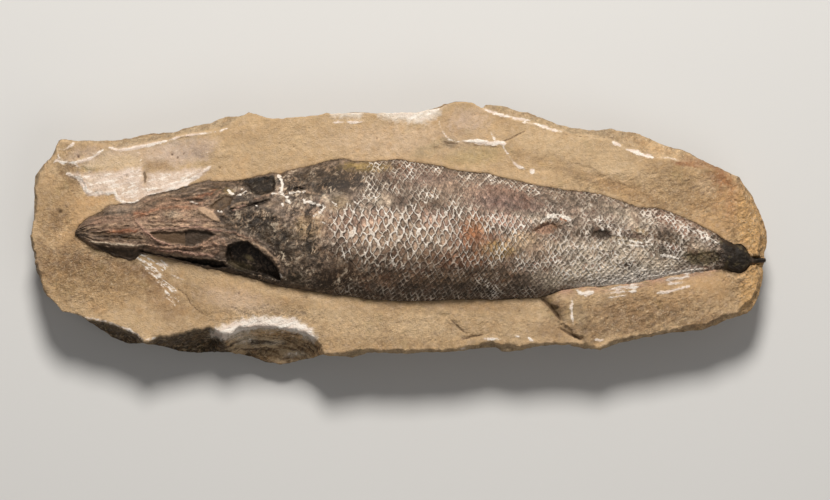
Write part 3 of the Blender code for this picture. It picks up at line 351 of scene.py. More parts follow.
# Where the scales begin behind the head: (y, x).
SCALES_BEGIN = [
    (-20, -26), (-16, -20), (-12, -13), (-9, -16), (-5, -25), (0, -22), (6, -22), (9, -16), (12, -12),
    (16, -11.5), (22, -10),
]

# Sunken places: (name, outline, depth, width of the wall, colour of the floor). The tar floors of the gill
# opening and the gape are painted shade.
HOLLOWS = [
    ("left window", [(-72.2, 0.1), (-70, 0.5), (-66, 0.6), (-62, 0.6), (-61.3, 0.9), (-61.5, -3.7),
     (-63.5, -3.1), (-66, -3), (-69, -2.1), (-70.6, -1.2)], 0.7, 0.4, "lens"),
    ("right window", [(-61.9, 0.6), (-60.6, 1.1), (-58, 1), (-54.6, 0.4), (-52.4, -0.4), (-55, -1.3),
     (-57.6, -2.8), (-59.4, -3.7), (-61.7, -3.8)], 0.95, 0.4, "olivine"),
    ("gill opening", [(-49.4, -3.1), (-46.4, -2.3), (-43.6, -2.2), (-40.8, -4.2), (-38.2, -6.4),
     (-35.6, -8.8), (-34.2, -12.2), (-34, -14), (-37.4, -13.1), (-41.4, -12.2), (-46.9, -10.6), (-49.8, -8.7),
     (-50.4, -6.4)], 3.6, 0.9, "tar"),
    ("gape", [(-76, -4.3), (-70, -5.9), (-64, -6.7), (-58, -7.2), (-54, -7.6), (-51, -8), (-49.6, -9.8),
     (-53, -10.2), (-60, -8.7), (-66, -7.2), (-72, -6.1), (-75, -5.4)], 2.4, 0.7, "tar"),
    ("lower jaw", [(-88.8, -2.9), (-84, -3.9), (-77, -4.3), (-73.8, -4.3), (-74.4, -5.4), (-76.2, -7.2),
     (-78.3, -7.7), (-83, -6.3), (-86.6, -4.8)], 0.6, 0.7, "char"),
    ("jaw slot", [(-81.6, -1.2), (-78.6, -1.1), (-74.6, -1.3), (-72.6, -1.7), (-75, -2), (-79.6, -1.8)],
     0.45, 0.45, "bark"),
    ("snout slot", [(-90.6, 0.2), (-86, 0.6), (-82, 0.1), (-84, -0.5), (-88, -0.6)], 0.5, 0.5, "bark"),
    ("neck hollow", [(-46.6, 15.4), (-41, 16.4), (-36, 17), (-35.5, 14.6), (-35.6, 11.9), (-38.2, 11.2),
     (-41, 10.9), (-42.7, 11.9), (-44, 13.8)], 1.1, 1.2, "tar"),
    ("neck slot", [(-49.5, 6.5), (-46, 6.9), (-42.7, 7.6), (-38.6, 8.6), (-36.6, 10), (-38.4, 9.9),
     (-42.4, 8.7), (-46.4, 7.4), (-49, 7.2)], 0.9, 0.4, "char"),
    ("roof wedge", [(-55.2, 7.7), (-52.6, 9.6), (-50.2, 11.3), (-47.9, 10.6), (-48.5, 8.5), (-51.1, 6.4),
     (-54.2, 7.1)], 0.6, 0.7, "bark"),
    ("brow slot", [(-30.6, 13.2), (-29.4, 13.8), (-27.8, 13.4), (-27.2, 12.8), (-28.6, 12.2), (-30.2, 12.4)],
     0.9, 0.4, "tar"),
    ("torn skin", [(38, 0.7), (40, 1.9), (41.4, 2.7), (43.8, 3.4), (45.2, 2.9), (45.6, 1.4), (44, 0),
     (41, -0.2)], 0.9, 0.45, "flesh"),
    ("pit", [(56, 0.6), (58.4, 1.2), (61, 0.8), (61.8, -0.6), (60, -1.9), (57.6, -2), (55.6, -0.9)],
     0.35, 0.9, "char"),
    ("lower tail", [(81.5, -6.2), (86, -5.6), (91.6, -4.8), (93.4, -6.6), (92, -9.4), (88, -9.6), (83, -8.2)],
     0.5, 0.8, "moss"),
]
# Tints of the hollows' floors: (smudge, tone, strength).
HOLLOW_TINTS = [
    (45.2, 1.9, 2.6, 1.5, 15, "umber", 0.75), (-43.6, -7, 1.8, 0.9, -30, "moss", 0.9),
    (-46, -9.4, 4.6, 1.3, -14, "moss", 0.6),
]
# A plate of pale bone that stands up behind the eye.
CHEEK_PLATE = [
    (-58.3, 7.7), (-56, 7.6), (-53.6, 6.3), (-51.6, 4), (-51.3, 3.1), (-53.2, 3.5), (-55.6, 4.6),
    (-57.6, 6.2),
]
# Bones and folds that stand up: (line, height, half width, tone, how much of it shows).
RIDGES = [
    ([(-89.6, -2.4), (-86, -2.8), (-82, -3.1), (-78.6, -3.3), (-74.6, -3.5), (-72.4, -3.2)],
     0.8, 0.36, "cream", 0.9), ([(-81.2, 0.4), (-79.4, 0.9), (-77, 1.1), (-75.2, 1)], 0.4, 0.5, "clay", 0.9),
    ([(-91.4, 0.8), (-88.4, 1.8), (-84.6, 2.3), (-80, 2.4), (-76.4, 2.3)], 0.7, 0.5, "sand", 0.7),
    ([(-91, 2.2), (-87, 3.4), (-82, 3.6), (-78, 3.8)], 0.5, 0.45, "flesh", 0.6),
    ([(-87.6, -0.9), (-83, -1.1), (-79, -1.2), (-75.4, -1)], -0.5, 0.42, "tar", 0.9),
    ([(-86, 0.1), (-82, 0.4), (-78, 0.6), (-75, 0.8)], 0.2, 0.42, "rust", 0.7),
    ([(-89, 4), (-85.4, 4.8), (-81, 4.6), (-77.6, 5.2)], 0.5, 0.45, "flesh", 0.6),
    ([(-76.2, 3.8), (-74.6, 2), (-72.6, 0.2), (-71, -1.4), (-69, -2.6), (-66, -3.3)], 0.7, 0.42, "rose", 0.8),
    ([(-76.4, 2.2), (-74.4, 0.6), (-72.8, -0.8), (-71.2, -2.6)], 0.4, 0.35, "flesh", 0.8),
    ([(-86, 6.4), (-82, 7.2), (-77.6, 7.4), (-75.2, 8.4)], 0.4, 0.7, "ash", 0.7),
    ([(-73.6, -3.2), (-71, -3.9), (-66.4, -4.2), (-62.4, -4), (-59.4, -4.2), (-56.6, -3), (-54.4, -1.8),
     (-52.2, -1)], 0.9, 0.55, "flesh", 0.9),
    ([(-71, -4.8), (-67.2, -5.4), (-63, -5.2), (-60, -5.9), (-56, -6.4), (-53.4, -6.6)],
     0.8, 0.45, "rose", 0.8),
    ([(-57.4, -4.6), (-55.6, -3.8), (-53.4, -2.8), (-51.8, -3.2), (-52.2, -5), (-53.4, -6.2)],
     0.7, 0.5, "flesh", 0.8), ([(-56.4, -5.4), (-54.8, -5), (-53.8, -4.2)], 0.4, 0.35, "sand", 0.9),
    ([(-72, 1.2), (-68.6, 1.4), (-64.4, 1.5), (-61, 1.9), (-57, 1.8), (-53.4, 0.9), (-51, 0.6)],
     0.6, 0.36, "rose", 0.8),
    ([(-74.4, 2.6), (-71, 2.4), (-67, 2.6), (-63.6, 2.4), (-59, 2.6), (-54.6, 2.2)], 0.6, 0.36, "sand", 0.8),
    ([(-73, 3.6), (-70, 3.6), (-66, 3.4), (-62, 3.8), (-58, 3.4)], 0.5, 0.36, "flesh", 0.8),
    ([(-72.2, 4.2), (-71, 4.7), (-69.8, 4.3)], 0.7, 0.5, "sand", 0.9),
    ([(-67.6, 5.2), (-66, 5.9), (-63.6, 5.8), (-62, 5)], 0.7, 0.75, "sand", 0.9),
    ([(-66.6, 4.2), (-63.4, 4.6), (-60, 4.4)], 0.4, 0.4, "sand", 0.7),
    ([(-76.6, 5.4), (-73, 5.9), (-69, 7.4), (-64, 7.8), (-60, 7.2)], 0.5, 0.45, "clay", 0.6),
    ([(-70.6, 8), (-66, 8.6), (-62.4, 8.8), (-59.4, 8.7), (-56.4, 8.9)], 0.6, 0.4, "flesh", 0.8),
    ([(-60.6, 9.1), (-59, 8.9), (-57.8, 8.7)], 0.4, 0.26, "ivory", 0.9),
    ([(-74.4, 9.2), (-69, 10), (-64, 10.2), (-59, 10.4), (-55.4, 9.6)], 0.5, 0.4, "flesh", 0.6),
    ([(-72.6, 10.4), (-66, 11.8), (-61, 13), (-56, 14.8)], 0.5, 0.5, "ash", 0.7),
    ([(-66, 10.9), (-62, 11.7), (-58, 12.9), (-53.4, 13.9)], 0.5, 0.3, "taupe", 0.9),
    ([(-60.6, 11), (-57, 11.8), (-54, 12)], 0.5, 0.35, "taupe", 0.8),
    ([(-59.8, 9.8), (-57.2, 10.8), (-54.6, 11.4), (-52.8, 12.8)], 0.6, 0.5, "clay", 0.6),
    ([(-56.2, 8.9), (-54.4, 9.6), (-52.8, 10.8), (-51.6, 12.6)], 0.5, 0.4, "flesh", 0.8),
    ([(-48.7, 7.4), (-47.2, 8.1), (-45.4, 8.7), (-43.6, 8.9)], 0.7, 0.5, "sand", 0.9),
    ([(-47.9, 6.9), (-45.6, 7.4), (-44, 8.2)], 0.4, 0.35, "rose", 0.9),
    ([(-42, 9.6), (-39, 10.6), (-36.6, 11.3)], 0.5, 0.4, "flesh", 0.8),
    ([(-39.6, 10.8), (-37.4, 11.4), (-36.2, 11.6)], 0.3, 0.35, "sand", 0.9),
    ([(-49.8, 5.2), (-46.4, 5.2), (-43.4, 6.4), (-40, 6.2)], 0.5, 0.35, "ash", 0.9),
    ([(-52.4, 5.2), (-50.6, 5.8), (-49.6, 4.8)], 0.5, 0.3, "sand", 0.8),
    ([(-52.6, 2.4), (-48.4, 3.4), (-45, 3), (-41, 4.2)], 0.5, 0.35, "ash", 0.8),
    ([(-51.6, 0.8), (-48.6, 0.4), (-45, -0.6), (-42.6, -1.6), (-40.6, -2.6)], 0.6, 0.35, "flesh", 0.8),
    ([(-49, -1.4), (-46.4, -1.2), (-43.6, -2), (-40.8, -3.4), (-38, -5.4), (-35.6, -8), (-34, -10.9),
     (-33.4, -13.6)], 0.7, 0.32, "sand", 0.9),
    ([(-45, 0.4), (-41.6, -1.2), (-38.6, -3.2), (-36, -5.8), (-33.6, -9.6), (-32.4, -12.4)],
     0.4, 0.3, "taupe", 0.8),
    ([(-50.6, -1.6), (-49.6, -3.8), (-48.8, -5.4), (-47.9, -7.4)], 1.4, 0.34, "flesh", 0.9),
    ([(-51.8, -1.6), (-50.6, -2.8), (-50, -4.6)], 0.7, 0.4, "flesh", 0.8),
    ([(38.2, 1), (40, 2.2), (41.6, 3), (44, 3.8)], 0.5, 0.3, "sand", 0.6),
    ([(-32.7, 11.5), (-29.4, 12), (-27.2, 12.2), (-23.3, 11.5), (-20.7, 9.9)], 0.6, 0.3, "sand", 0.8),
    ([(-27.6, 8.6), (-24, 7.6)], 0.3, 0.3, "taupe", 0.7),
    ([(-24, 5), (-24.8, 3.4), (-24.6, 1.4)], 0.3, 0.3, "sand", 0.5),
    ([(81, -1.6), (83.4, -3.4), (85.4, -4.8)], -0.5, 0.3, "char", 0.6),
    ([(64, 0.8), (67.4, 0.4), (70.8, -1), (74, -1.4), (78, -2.6)], -0.5, 0.35, "char", 0.6),
]
# Ivory-white bone and crust on the fish: (line, half width).
IVORY = [
    ([(-34.4, -11.6), (-33.7, -13.2)], 0.2),
    ([(-35.2, 17), (-34.4, 15.9), (-33.7, 14.6), (-33.7, 13.4), (-34, 12.2)], 0.48),
    ([(-34.4, 11.6), (-33.2, 11.2)], 0.5), ([(-32.9, 10.7), (-31.9, 10.3)], 0.42),
    ([(-32.3, 9.6), (-31.4, 9)], 0.5), ([(-33.8, 8.7), (-33.3, 8)], 0.36),
    ([(-36.6, 11.4), (-35.4, 11.6)], 0.2), ([(-31.6, 11.7), (-29, 11.9), (-27, 12)], 0.18),
    ([(-27.7, 9.6), (-26.4, 9.2), (-25, 8.8)], 0.46), ([(-25, 8.8), (-23.2, 8.2), (-21.2, 7.7)], 0.32),
    ([(-21, 7.7), (-22.5, 6.3), (-24.6, 5)], 0.32), ([(-19, 9), (-17.6, 7.6)], 0.22),
    ([(-22.8, 3.4), (-20.4, 2.4)], 0.16), ([(42.4, 4.4), (43.6, 5), (45.4, 5.4)], 0.55),
    ([(46, 5.2), (48, 4.6), (49.4, 3.8)], 0.55), ([(40.8, 3.1), (42.4, 4.1)], 0.24),
    ([(58.2, 1.5), (58.8, 1.4)], 0.5), ([(75.8, -6.3), (78.4, -6.7), (81.2, -7.4)], 0.5),
    ([(63, -1.4), (66.5, -2.1), (70.4, -2.9), (73, -2)], 0.22),
    ([(66, -3.4), (70, -3.7), (73.6, -3.3)], 0.22), ([(-46.6, 10.9), (-45.4, 11.4), (-44.2, 12.2)], 0.26),
    ([(-45.8, 12.8), (-45.2, 12.9)], 0.22), ([(-49.8, 12.6), (-48.8, 12), (-47.8, 11.4)], 0.36),
    ([(70.6, -12.9), (74, -12.4), (77.4, -11.9)], 0.2), ([(79, -11.7), (84, -10.8), (89.4, -10.2)], 0.22),
    ([(89, -1), (91, -2), (92.6, -3)], 0.34), ([(82.5, 1.8), (84.6, 1.2), (86, 0.2)], 0.26),
    ([(-21.3, -6.9), (-21, -7)], 0.28), ([(-41.2, 8.1), (-40.8, 7.9)], 0.22),
    ([(-52.2, 6.4), (-51, 6.2)], 0.22), ([(86, 1), (88.4, 0.2)], 0.3),
]
# Tints of the fish: (smudge, tone, strength). The tar, umber and char bands along the lower flank are partly
# painted shade, and the tar streaks at (-43, -12.2) and (-56, -9.4) are painted shadow below the gill opening
# and the gape.
TINTS = [
    (-10, 2, 34, 14, 0, "taupe", 0.75), (50, -1, 40, 9, -6, "taupe", 0.7), (-68, 3, 22, 9, 5, "flesh", 0.55),
    (-92.5, 0.8, 4, 3.5, 0, "char", 0.75), (-85, 3, 8, 3.4, 8, "flesh", 0.45),
    (-81, 6.6, 7, 2.4, 6, "ash", 0.75), (-76, 7.8, 3, 1.6, 20, "ash", 0.8),
    (-75, 5.4, 3.6, 1.4, 0, "clay", 0.6), (-86, 6.6, 3, 1.2, 40, "bark", 0.6),
    (-79, -0.4, 7, 1.4, -2, "bark", 0.6), (-77, -1.2, 5, 0.8, -4, "moss", 0.5),
    (-66, 6.6, 10, 3.4, 10, "flesh", 0.6), (-65.2, 5.6, 2.8, 1, -6, "sand", 0.8),
    (-71.2, 4.3, 1.4, 0.8, 0, "sand", 0.7), (-70.4, 9.2, 4.6, 0.9, 18, "bark", 0.7),
    (-65, 12, 8, 1.6, 14, "bark", 0.85), (-60, 8, 4, 1.6, 14, "clay", 0.35),
    (-53.4, 13.4, 5.4, 2, 8, "bark", 0.7), (-51.6, 11.6, 3, 1.6, -30, "moss", 0.7),
    (-49, 12.2, 2, 1.1, -30, "straw", 0.85), (-63, -4.8, 10, 1.6, -6, "flesh", 0.6),
    (-54, -4.4, 3.4, 3, 0, "flesh", 0.4), (-59, 6.2, 3.4, 1.6, -30, "moss", 0.35),
    (-46, 3, 8, 5, -15, "char", 0.65), (-40, 5, 6, 4, -20, "ash", 0.55), (-37, 1, 6, 8, 30, "bark", 0.7),
    (-46, 14, 7, 2, 12, "char", 0.7), (-40, 13.8, 6, 2.8, 15, "char", 0.7),
    (-30, 14.6, 5, 4, 10, "bark", 0.7), (-29, 5, 6, 4, 0, "taupe", 0.5), (-24, 3, 7, 5, 0, "flesh", 0.55),
    (-26, 0, 5, 3, 0, "straw", 0.25), (-33, -6.5, 5, 6, 0, "bark", 0.75), (-24, -6.5, 8, 4, 0, "bark", 0.75),
    (36, 4.4, 8, 2.6, -6, "cream", 0.45), (-21, -13, 12, 4.6, -8, "char", 0.8),
    (-18, -13.4, 6, 2.4, 0, "tar", 0.5), (-30, -13.5, 4, 3, -10, "moss", 0.5),
    (-19.5, 15.4, 10, 5.6, 6, "char", 0.85), (-27, 17, 5, 2.4, 14, "char", 0.6),
    (-28.5, 13, 3, 1.4, 0, "tar", 0.6), (-22, 9.9, 1.9, 1.1, -10, "rose", 0.95),
    (-9, 18.4, 8, 2.4, 0, "bark", 0.6), (-17, 8.6, 4, 3, 20, "straw", 0.25),
    (-13, 2.6, 9, 4.4, 0, "rose", 0.45), (-2, 0, 21, 6.4, -5, "sand", 0.55),
    (-1, 9.4, 6, 3.4, 0, "char", 0.5), (9, 8.6, 8, 2.6, -6, "bark", 0.5), (-6, 13, 6, 3, 0, "taupe", 0.4),
    (4, 16.6, 14, 3.4, -6, "mauve", 0.6), (30, 9.8, 15, 4.6, -8, "mauve", 0.95),
    (29, 12.4, 12, 2.6, -8, "flesh", 0.35), (22, 1, 5.4, 5.4, -12, "clay", 0.5),
    (20.6, 1.6, 2, 5, -12, "fox", 0.3), (24.4, 2, 1.4, 3.4, 10, "umber", 0.35),
    (19, 3.4, 4.4, 1.6, 0, "sand", 0.5), (20.5, -2.6, 2.6, 2, 0, "bark", 0.45),
    (33, -3.2, 6, 1.6, -10, "sand", 0.5), (31, 3.6, 9, 2.4, -6, "rose", 0.65),
    (38, -0.6, 8, 2.4, 0, "sand", 0.5), (42.4, 1.4, 3.6, 1.8, 10, "flesh", 0.8),
    (42.6, 2.8, 2.6, 0.6, 15, "umber", 0.8), (47.6, 4.3, 1.9, 0.9, -20, "fox", 0.95),
    (49.2, -10.4, 1.4, 0.8, 10, "fox", 0.95), (42.4, -10.3, 1.6, 1, 0, "clay", 0.5),
    (45.2, -7.6, 1.6, 1, 40, "clay", 0.5), (45.4, -2, 1.3, 0.8, 0, "clay", 0.6),
    (50, -5.4, 1.6, 0.9, 40, "slate", 0.8), (48, -4.6, 0.8, 0.6, 0, "slate", 0.7),
    (10, -15.8, 36, 4.4, 0, "char", 0.65), (38, -14.5, 12, 4, 0, "char", 0.5),
    (56, -13, 8, 1.8, 4, "bark", 0.7), (57, -10.8, 18, 4.8, 6, "cream", 0.95),
    (76, -9, 12, 3.6, 8, "cream", 0.75), (50, -4, 10, 3, 0, "cream", 0.5), (65, 5, 10, 3, -18, "cream", 0.5),
    (46, -14.2, 5, 2.4, 8, "cream", 0.7), (85, -2.6, 6, 2.6, -20, "cream", 0.45),
    (40, -5, 7, 3.4, 0, "sand", 0.45), (66.6, -9.2, 3.8, 1.9, 10, "char", 0.7),
    (60.5, -12, 2.4, 1, 5, "char", 0.35), (50, 9.6, 12, 3, -10, "ash", 0.8),
    (56, 5.4, 10, 2.4, -16, "taupe", 0.5), (52, 1.8, 5, 1.6, -10, "ash", 0.6),
    (58.4, 0.2, 3.7, 2, 0, "char", 0.95), (53, 0, 4, 1.4, 0, "bark", 0.7),
    (79, -1.4, 7, 2.8, -14, "bark", 0.85), (70, 0.4, 3, 1.2, -20, "straw", 0.35),
    (66, -2, 6, 1, -8, "straw", 0.6), (77, -4.6, 9, 1, -10, "char", 0.7),
    (80, -5.8, 5, 0.8, -10, "slate", 0.3), (80, 3.4, 10, 2.4, -24, "clay", 0.45),
    (87, -0.6, 6, 2.2, -25, "taupe", 0.6), (86.4, -9.9, 7, 1.1, 6, "flesh", 0.9),
    (86, -6.6, 6, 2.8, 6, "moss", 0.85), (90.6, -5.6, 3, 2.4, 0, "char", 0.5),
    (98.4, -7, 6.2, 6.2, 0, "tar", 0.95), (98, -7.6, 4.6, 4, 0, "moss", 0.22),
    (92.6, -1, 2.4, 0.7, -35, "clay", 0.5), (105, -7.8, 3.4, 2, 0, "tar", 1), (-66, 9, 9, 4, 10, "sand", 0.3),
    (-40, 13.6, 6.5, 3.2, 12, "tar", 0.55), (-20, 15.4, 10, 5.6, 6, "tar", 0.85),
    (-91, 0.6, 3.6, 3, 0, "char", 0.5), (16, 12, 10, 4, -6, "sand", 0.3), (-66, 5, 11, 4, 6, "sand", 0.35),
    (-80, 4, 6.5, 3, 8, "sand", 0.3), (-52, 9, 5, 4, 20, "bark", 0.5), (2, -11.4, 33, 6, 1, "umber", 0.85),
    (24, -13, 18, 4.4, 2, "bark", 0.7), (-14, -9, 14, 4, -8, "umber", 0.55),
    (23, 1, 5, 5, -14, "apricot", 0.16), (21.4, -3.4, 2.4, 2.4, 0, "umber", 0.5),
    (18.4, 1.6, 1.2, 3, 0, "rust", 0.4), (24.6, 3.4, 1.6, 1.2, 0, "umber", 0.35),
    # partly painted shade: the tar band along the lower flank at (0, -10)
    (20, -6, 7, 3.4, 0, "bark", 0.5), (0, -10, 30, 3.6, 2, "tar", 0.45), (-8, 16, 18, 5, -4, "bark", 0.5),
    (85.4, -7.6, 6.5, 2, 8, "char", 0.3), (87, -8, 4, 1, 8, "moss", 0.5), (-42, 1.6, 10, 6, -18, "tar", 0.7),
    (-31, -3.5, 9, 6.4, -10, "tar", 0.66), (-48, 5, 5, 3.6, 0, "tar", 0.7), (-24, 3, 6, 4, 0, "sand", 0.35),
    (-20, -6, 9, 3.6, -8, "tar", 0.55), (-30, 9, 6, 4, -10, "tar", 0.25), (-20, -12.6, 11, 4, -8, "tar", 0.3),
    (-10, 12, 9, 5, 0, "tar", 0.18), (37, 10, 9, 4, -8, "char", 0.3), (28.5, -4.8, 7, 3.2, -4, "straw", 0.6),
    (28, -6.6, 8, 2.2, -4, "umber", 0.4), (-66, 9.4, 11, 3, 12, "umber", 0.6),
    (-59, 11, 5, 1.8, 14, "tar", 0.35), (-55, 12, 4.6, 2.6, 12, "umber", 0.55),
    (-80.5, 0.7, 5.4, 1, 3, "rust", 0.6), (-75, 5.4, 2.2, 1, 10, "rust", 0.6),
    (-82, -5.4, 7, 1.7, -10, "tar", 0.55), (-65.4, 5.3, 2.6, 1.3, 0, "cream", 0.5),
    (-69, 2, 8, 1.2, 0, "sand", 0.4), (-26, 2.6, 4.6, 3.2, 0, "straw", 0.45),
    (-24, 4, 6, 3, -20, "sand", 0.35), (-58, 11, 6, 2, 14, "bark", 0.5), (75, -5, 5.4, 2.6, -10, "char", 0.7),
    (60, 6, 7, 2.4, -14, "char", 0.3), (68, -6, 10, 2, 4, "cream", 0.5), (84, 1, 7, 3, -25, "flesh", 0.4),
    (-21.5, 10.1, 2.2, 1.3, -20, "cream", 0.8), (-45, 10, 4, 2.6, 10, "tar", 0.5),
    (-36, 0.6, 6, 5, -20, "tar", 0.45), (-51, 9.6, 2.6, 2, 0, "tar", 0.3), (-31, 10, 4.4, 2, 0, "tar", 0.25),
    (-55, 2, 3, 2, 0, "umber", 0.45), (-55, -2.6, 3, 2, 0, "umber", 0.4),
    (-3, -6.4, 20, 2.8, -1, "umber", 0.6), (21, -8.6, 8, 4, -2, "umber", 0.6), (5, 2, 5, 3, 0, "taupe", 0.4),
    (16, -3, 4, 3, 0, "clay", 0.3), (-5, 9.6, 3.4, 2.4, 0, "cream", 0.35), (-10, 14, 5, 2.4, 0, "tar", 0.25),
    (35, -2, 5, 2.4, -6, "cream", 0.5), (45.4, 1.8, 2.2, 1.4, 0, "umber", 0.5),
    (64, -3, 5, 1.8, -6, "cream", 0.4), (74, -9.8, 6, 2.2, 8, "cream", 0.55),
    (65, -10, 2.6, 1.6, 0, "char", 0.5), (-82.5, -1.7, 5.4, 1.4, -4, "umber", 0.65),
    (-83, -1, 5, 0.9, -2, "tar", 0.3), (30, -6.4, 5, 2.4, 0, "bark", 0.3),
    (21, -9.8, 7, 2.6, -2, "tar", 0.45), (-2, -6.6, 20, 2.2, -1, "tar", 0.25),
    (-36, 0.8, 5, 4, -20, "tar", 0.4), (-46, 10, 4, 2.4, 10, "tar", 0.3),
    # painted shadow along the lower edge below the gill opening and the gape: the tar streaks at (-43, -12.2)
    # and (-56, -9.4)
    (-43, -12.2, 10, 1.7, -17, "tar", 0.85), (-56, -9.4, 8, 1.1, -11, "tar", 0.7),
    (-10, 6, 4, 2.4, 0, "cream", 0.35), (62, -5, 15, 4, 2, "cream", 0.6),
    (66, -12.4, 12, 2.4, 7, "calcite", 0.6), (66.2, -9.2, 4, 2, 10, "char", 0.6),
    (75, -5, 6.4, 2.2, -10, "char", 0.55), (20, -9.4, 7, 2.6, 0, "tar", 0.3), (12, -6, 6, 2, 0, "umber", 0.4),
    (-40, -1.6, 3.4, 3, -20, "tar", 0.4), (-46, 10, 3.6, 2.2, 0, "tar", 0.35),
    (-34, 9.6, 3.4, 2, 0, "tar", 0.3), (-40, 2.4, 2.6, 2, 0, "ash", 0.4),
    (-25, 2.2, 3.4, 2.4, 0, "sand", 0.5), (-55, -2.4, 2.6, 1.6, 0, "umber", 0.4),
    (25, -3, 8, 4.4, -6, "clay", 0.45), (17, -7.6, 9, 3, -2, "rust", 0.45),
    (28.5, -4.6, 4.4, 2.6, -4, "straw", 0.5), (21, 1, 3.4, 4.4, -12, "fox", 0.35),
    (28, -5.6, 5, 2.4, 0, "umber", 0.35), (-23, -8, 5, 2.6, 0, "taupe", 0.4),
    (-60, 11, 5, 1.7, 12, "tar", 0.35), (-9, 19.4, 9, 1.9, -2, "straw", 0.5),
    (2, 19.6, 4, 1.8, -2, "rust", 0.4), (35.4, -1.6, 5, 2.6, -6, "apricot", 0.35),
    (11, 4, 7, 3, -4, "rose", 0.4), (-8, 4, 8, 3.4, 0, "rose", 0.3), (5, -7.4, 12, 2.2, 0, "bark", 0.35),
    (5, 2, 5, 3, 0, "bark", 0.2), (-15, -6, 5, 3, 0, "tar", 0.25), (-46, 8, 5, 4, 0, "tar", 0.3),
    (-34, -5, 5, 3, 0, "tar", 0.3), (-5, 9.6, 3.4, 2.4, 0, "cream", 0.2),
]
# Where the scales' rims show more or less: (smudge, amount).
RIM_SHOW = [
    (-2, 2, 24, 6, -3, 0.5), (-13, 2.6, 8, 5, 0, 0.45), (-12, 12, 7, 6, -40, 0.55), (24, 3.5, 16, 3, -5, 0.4),
    (33, 3.6, 8, 2.4, -5, 0.35), (31, 9.6, 13, 4.2, -8, -0.85), (14, 14, 9, 4, -6, -0.35),
    (-1, 9.4, 5, 2.8, 0, -0.45), (9, 8.6, 5, 2.2, -6, -0.3), (-2, -13, 40, 6, 0, -0.42),
    (42, 1.4, 4.5, 1.8, 15, -0.9), (58.4, 0.2, 3.5, 1.9, 0, -0.9), (79, -1.4, 6, 2.4, -14, -0.5),
    (56, -5, 14, 4, 0, 0.35), (58, -9.6, 15, 4, 4, 0.5), (64, 1.6, 12, 2, -16, 0.25),
    (58, 6.6, 14, 3.4, -14, -0.25), (-22, -12.5, 10, 4.4, 0, -0.7), (88, -7, 6, 3, 0, -0.7),
    (61, -11, 20, 3.6, 5, 0.45), (-3, 1, 15, 6, -4, 0.35), (69, -8.6, 5, 2.4, 10, -0.45),
    (38, -13, 12, 3.6, 0, -0.35), (16, -8.4, 22, 2.4, 0, 0.1), (84, 1.4, 9, 2.4, -24, 0.45),
    (68, -12.4, 14, 2.6, 7, 0.35), (6, 3.4, 12, 4, -4, 0.2), (74, 4.6, 8, 2.4, -14, 0.3),
    (22, 0.8, 3.4, 3, 0, -0.3),
]
PALE_STRIP = (60, -11, 20, 3.6, 6)  # where the tail's scales stay pale
# Where the bone is crumbled into pale and dark specks: (smudge, amount).
CRUMBLED = [
    (-26, 4, 8, 5, 0, 0.45), (-24, -4, 7, 4, 0, 0.3), (-40, 4, 6, 5, -20, 0.4), (-47, 4.6, 5, 3.4, 0, 0.1),
    (-30, 13, 5, 3, 0, 0.25), (-37, 1, 8, 6, -20, -0.35), (-46, 10, 5, 3, 10, -0.3),
    (-20, 15.5, 9, 5, 6, -0.2), (86, -6.6, 6, 3, 6, 0.6), (78, -1.4, 6, 2.4, -14, 0.5),
]

# ---- the stage, in metres ----
FLOOR_REACH, FLOOR_LEVEL = 3.0, -0.0002  # the floor lies a little below the seat, so that they don't meet
KEY_LIGHT, FILL_LIGHT = (0.24, (0.0, 0.57, 0.68)), (0.8, (0.5, -0.5, 0.9))  # (size, place)
FILL_SHARE = 0.2  # power of the fill light, as a share of the key light's
LIGHT_COLOUR, AIM = (1.0, 0.975, 0.94), (0.0, 0.0, 0.015)
SKY_COLOUR, SKY_STRENGTH = (0.98, 0.98, 1.0, 1.0), 0.15
VIEW_MIDDLE = (0.00466, -0.0048)  # what the camera looks straight down on
FILM_WIDTH = 36.0  # in millimetres

# ---- measuring and noise ----
def colour(tone):
    """Linear red, green and blue of one of TONES."""
    screen = np.array(list(bytes.fromhex(TONES[tone]))) / 255
    return np.where(screen < 0.04045, screen / 12.92, ((screen + 0.055) / 1.055) ** 2.4)


def opaque(tone):
    return (*colour(tone), 1.0)


def table_value(table, x):
    """The values at x of a table of (x, value), straight between its rows."""
    rows = np.asarray(table, float)
    return np.interp(x, rows[:, 0], rows[:, 1])


def smooth(share):
    """0 below 0, 1 above 1 and an even curve between."""
    share = np.clip(share, 0, 1)
    return share * share * (3 - 2 * share)


def random_at(cells, seed):
    """Repeatable numbers from 0 to 1, one for each row of whole numbers."""
    primes, low_half = (668265263, 2246822519, 3266489917), np.uint64(0xFFFFFFFF)
    n = np.full(cells.shape[0], seed * 2 + 1, np.uint64)
    for axis, prime in zip(cells.T.astype(np.int64).astype(np.uint64), primes):
        n = (n ^ (axis * np.uint64(prime))) & low_half
        n = (n * np.uint64(2654435761) + np.uint64(1013904223)) & low_half
        n = n ^ (n >> np.uint64(15))
    return (n & np.uint64(0xFFFFFF)).astype(float) / 0xFFFFFF


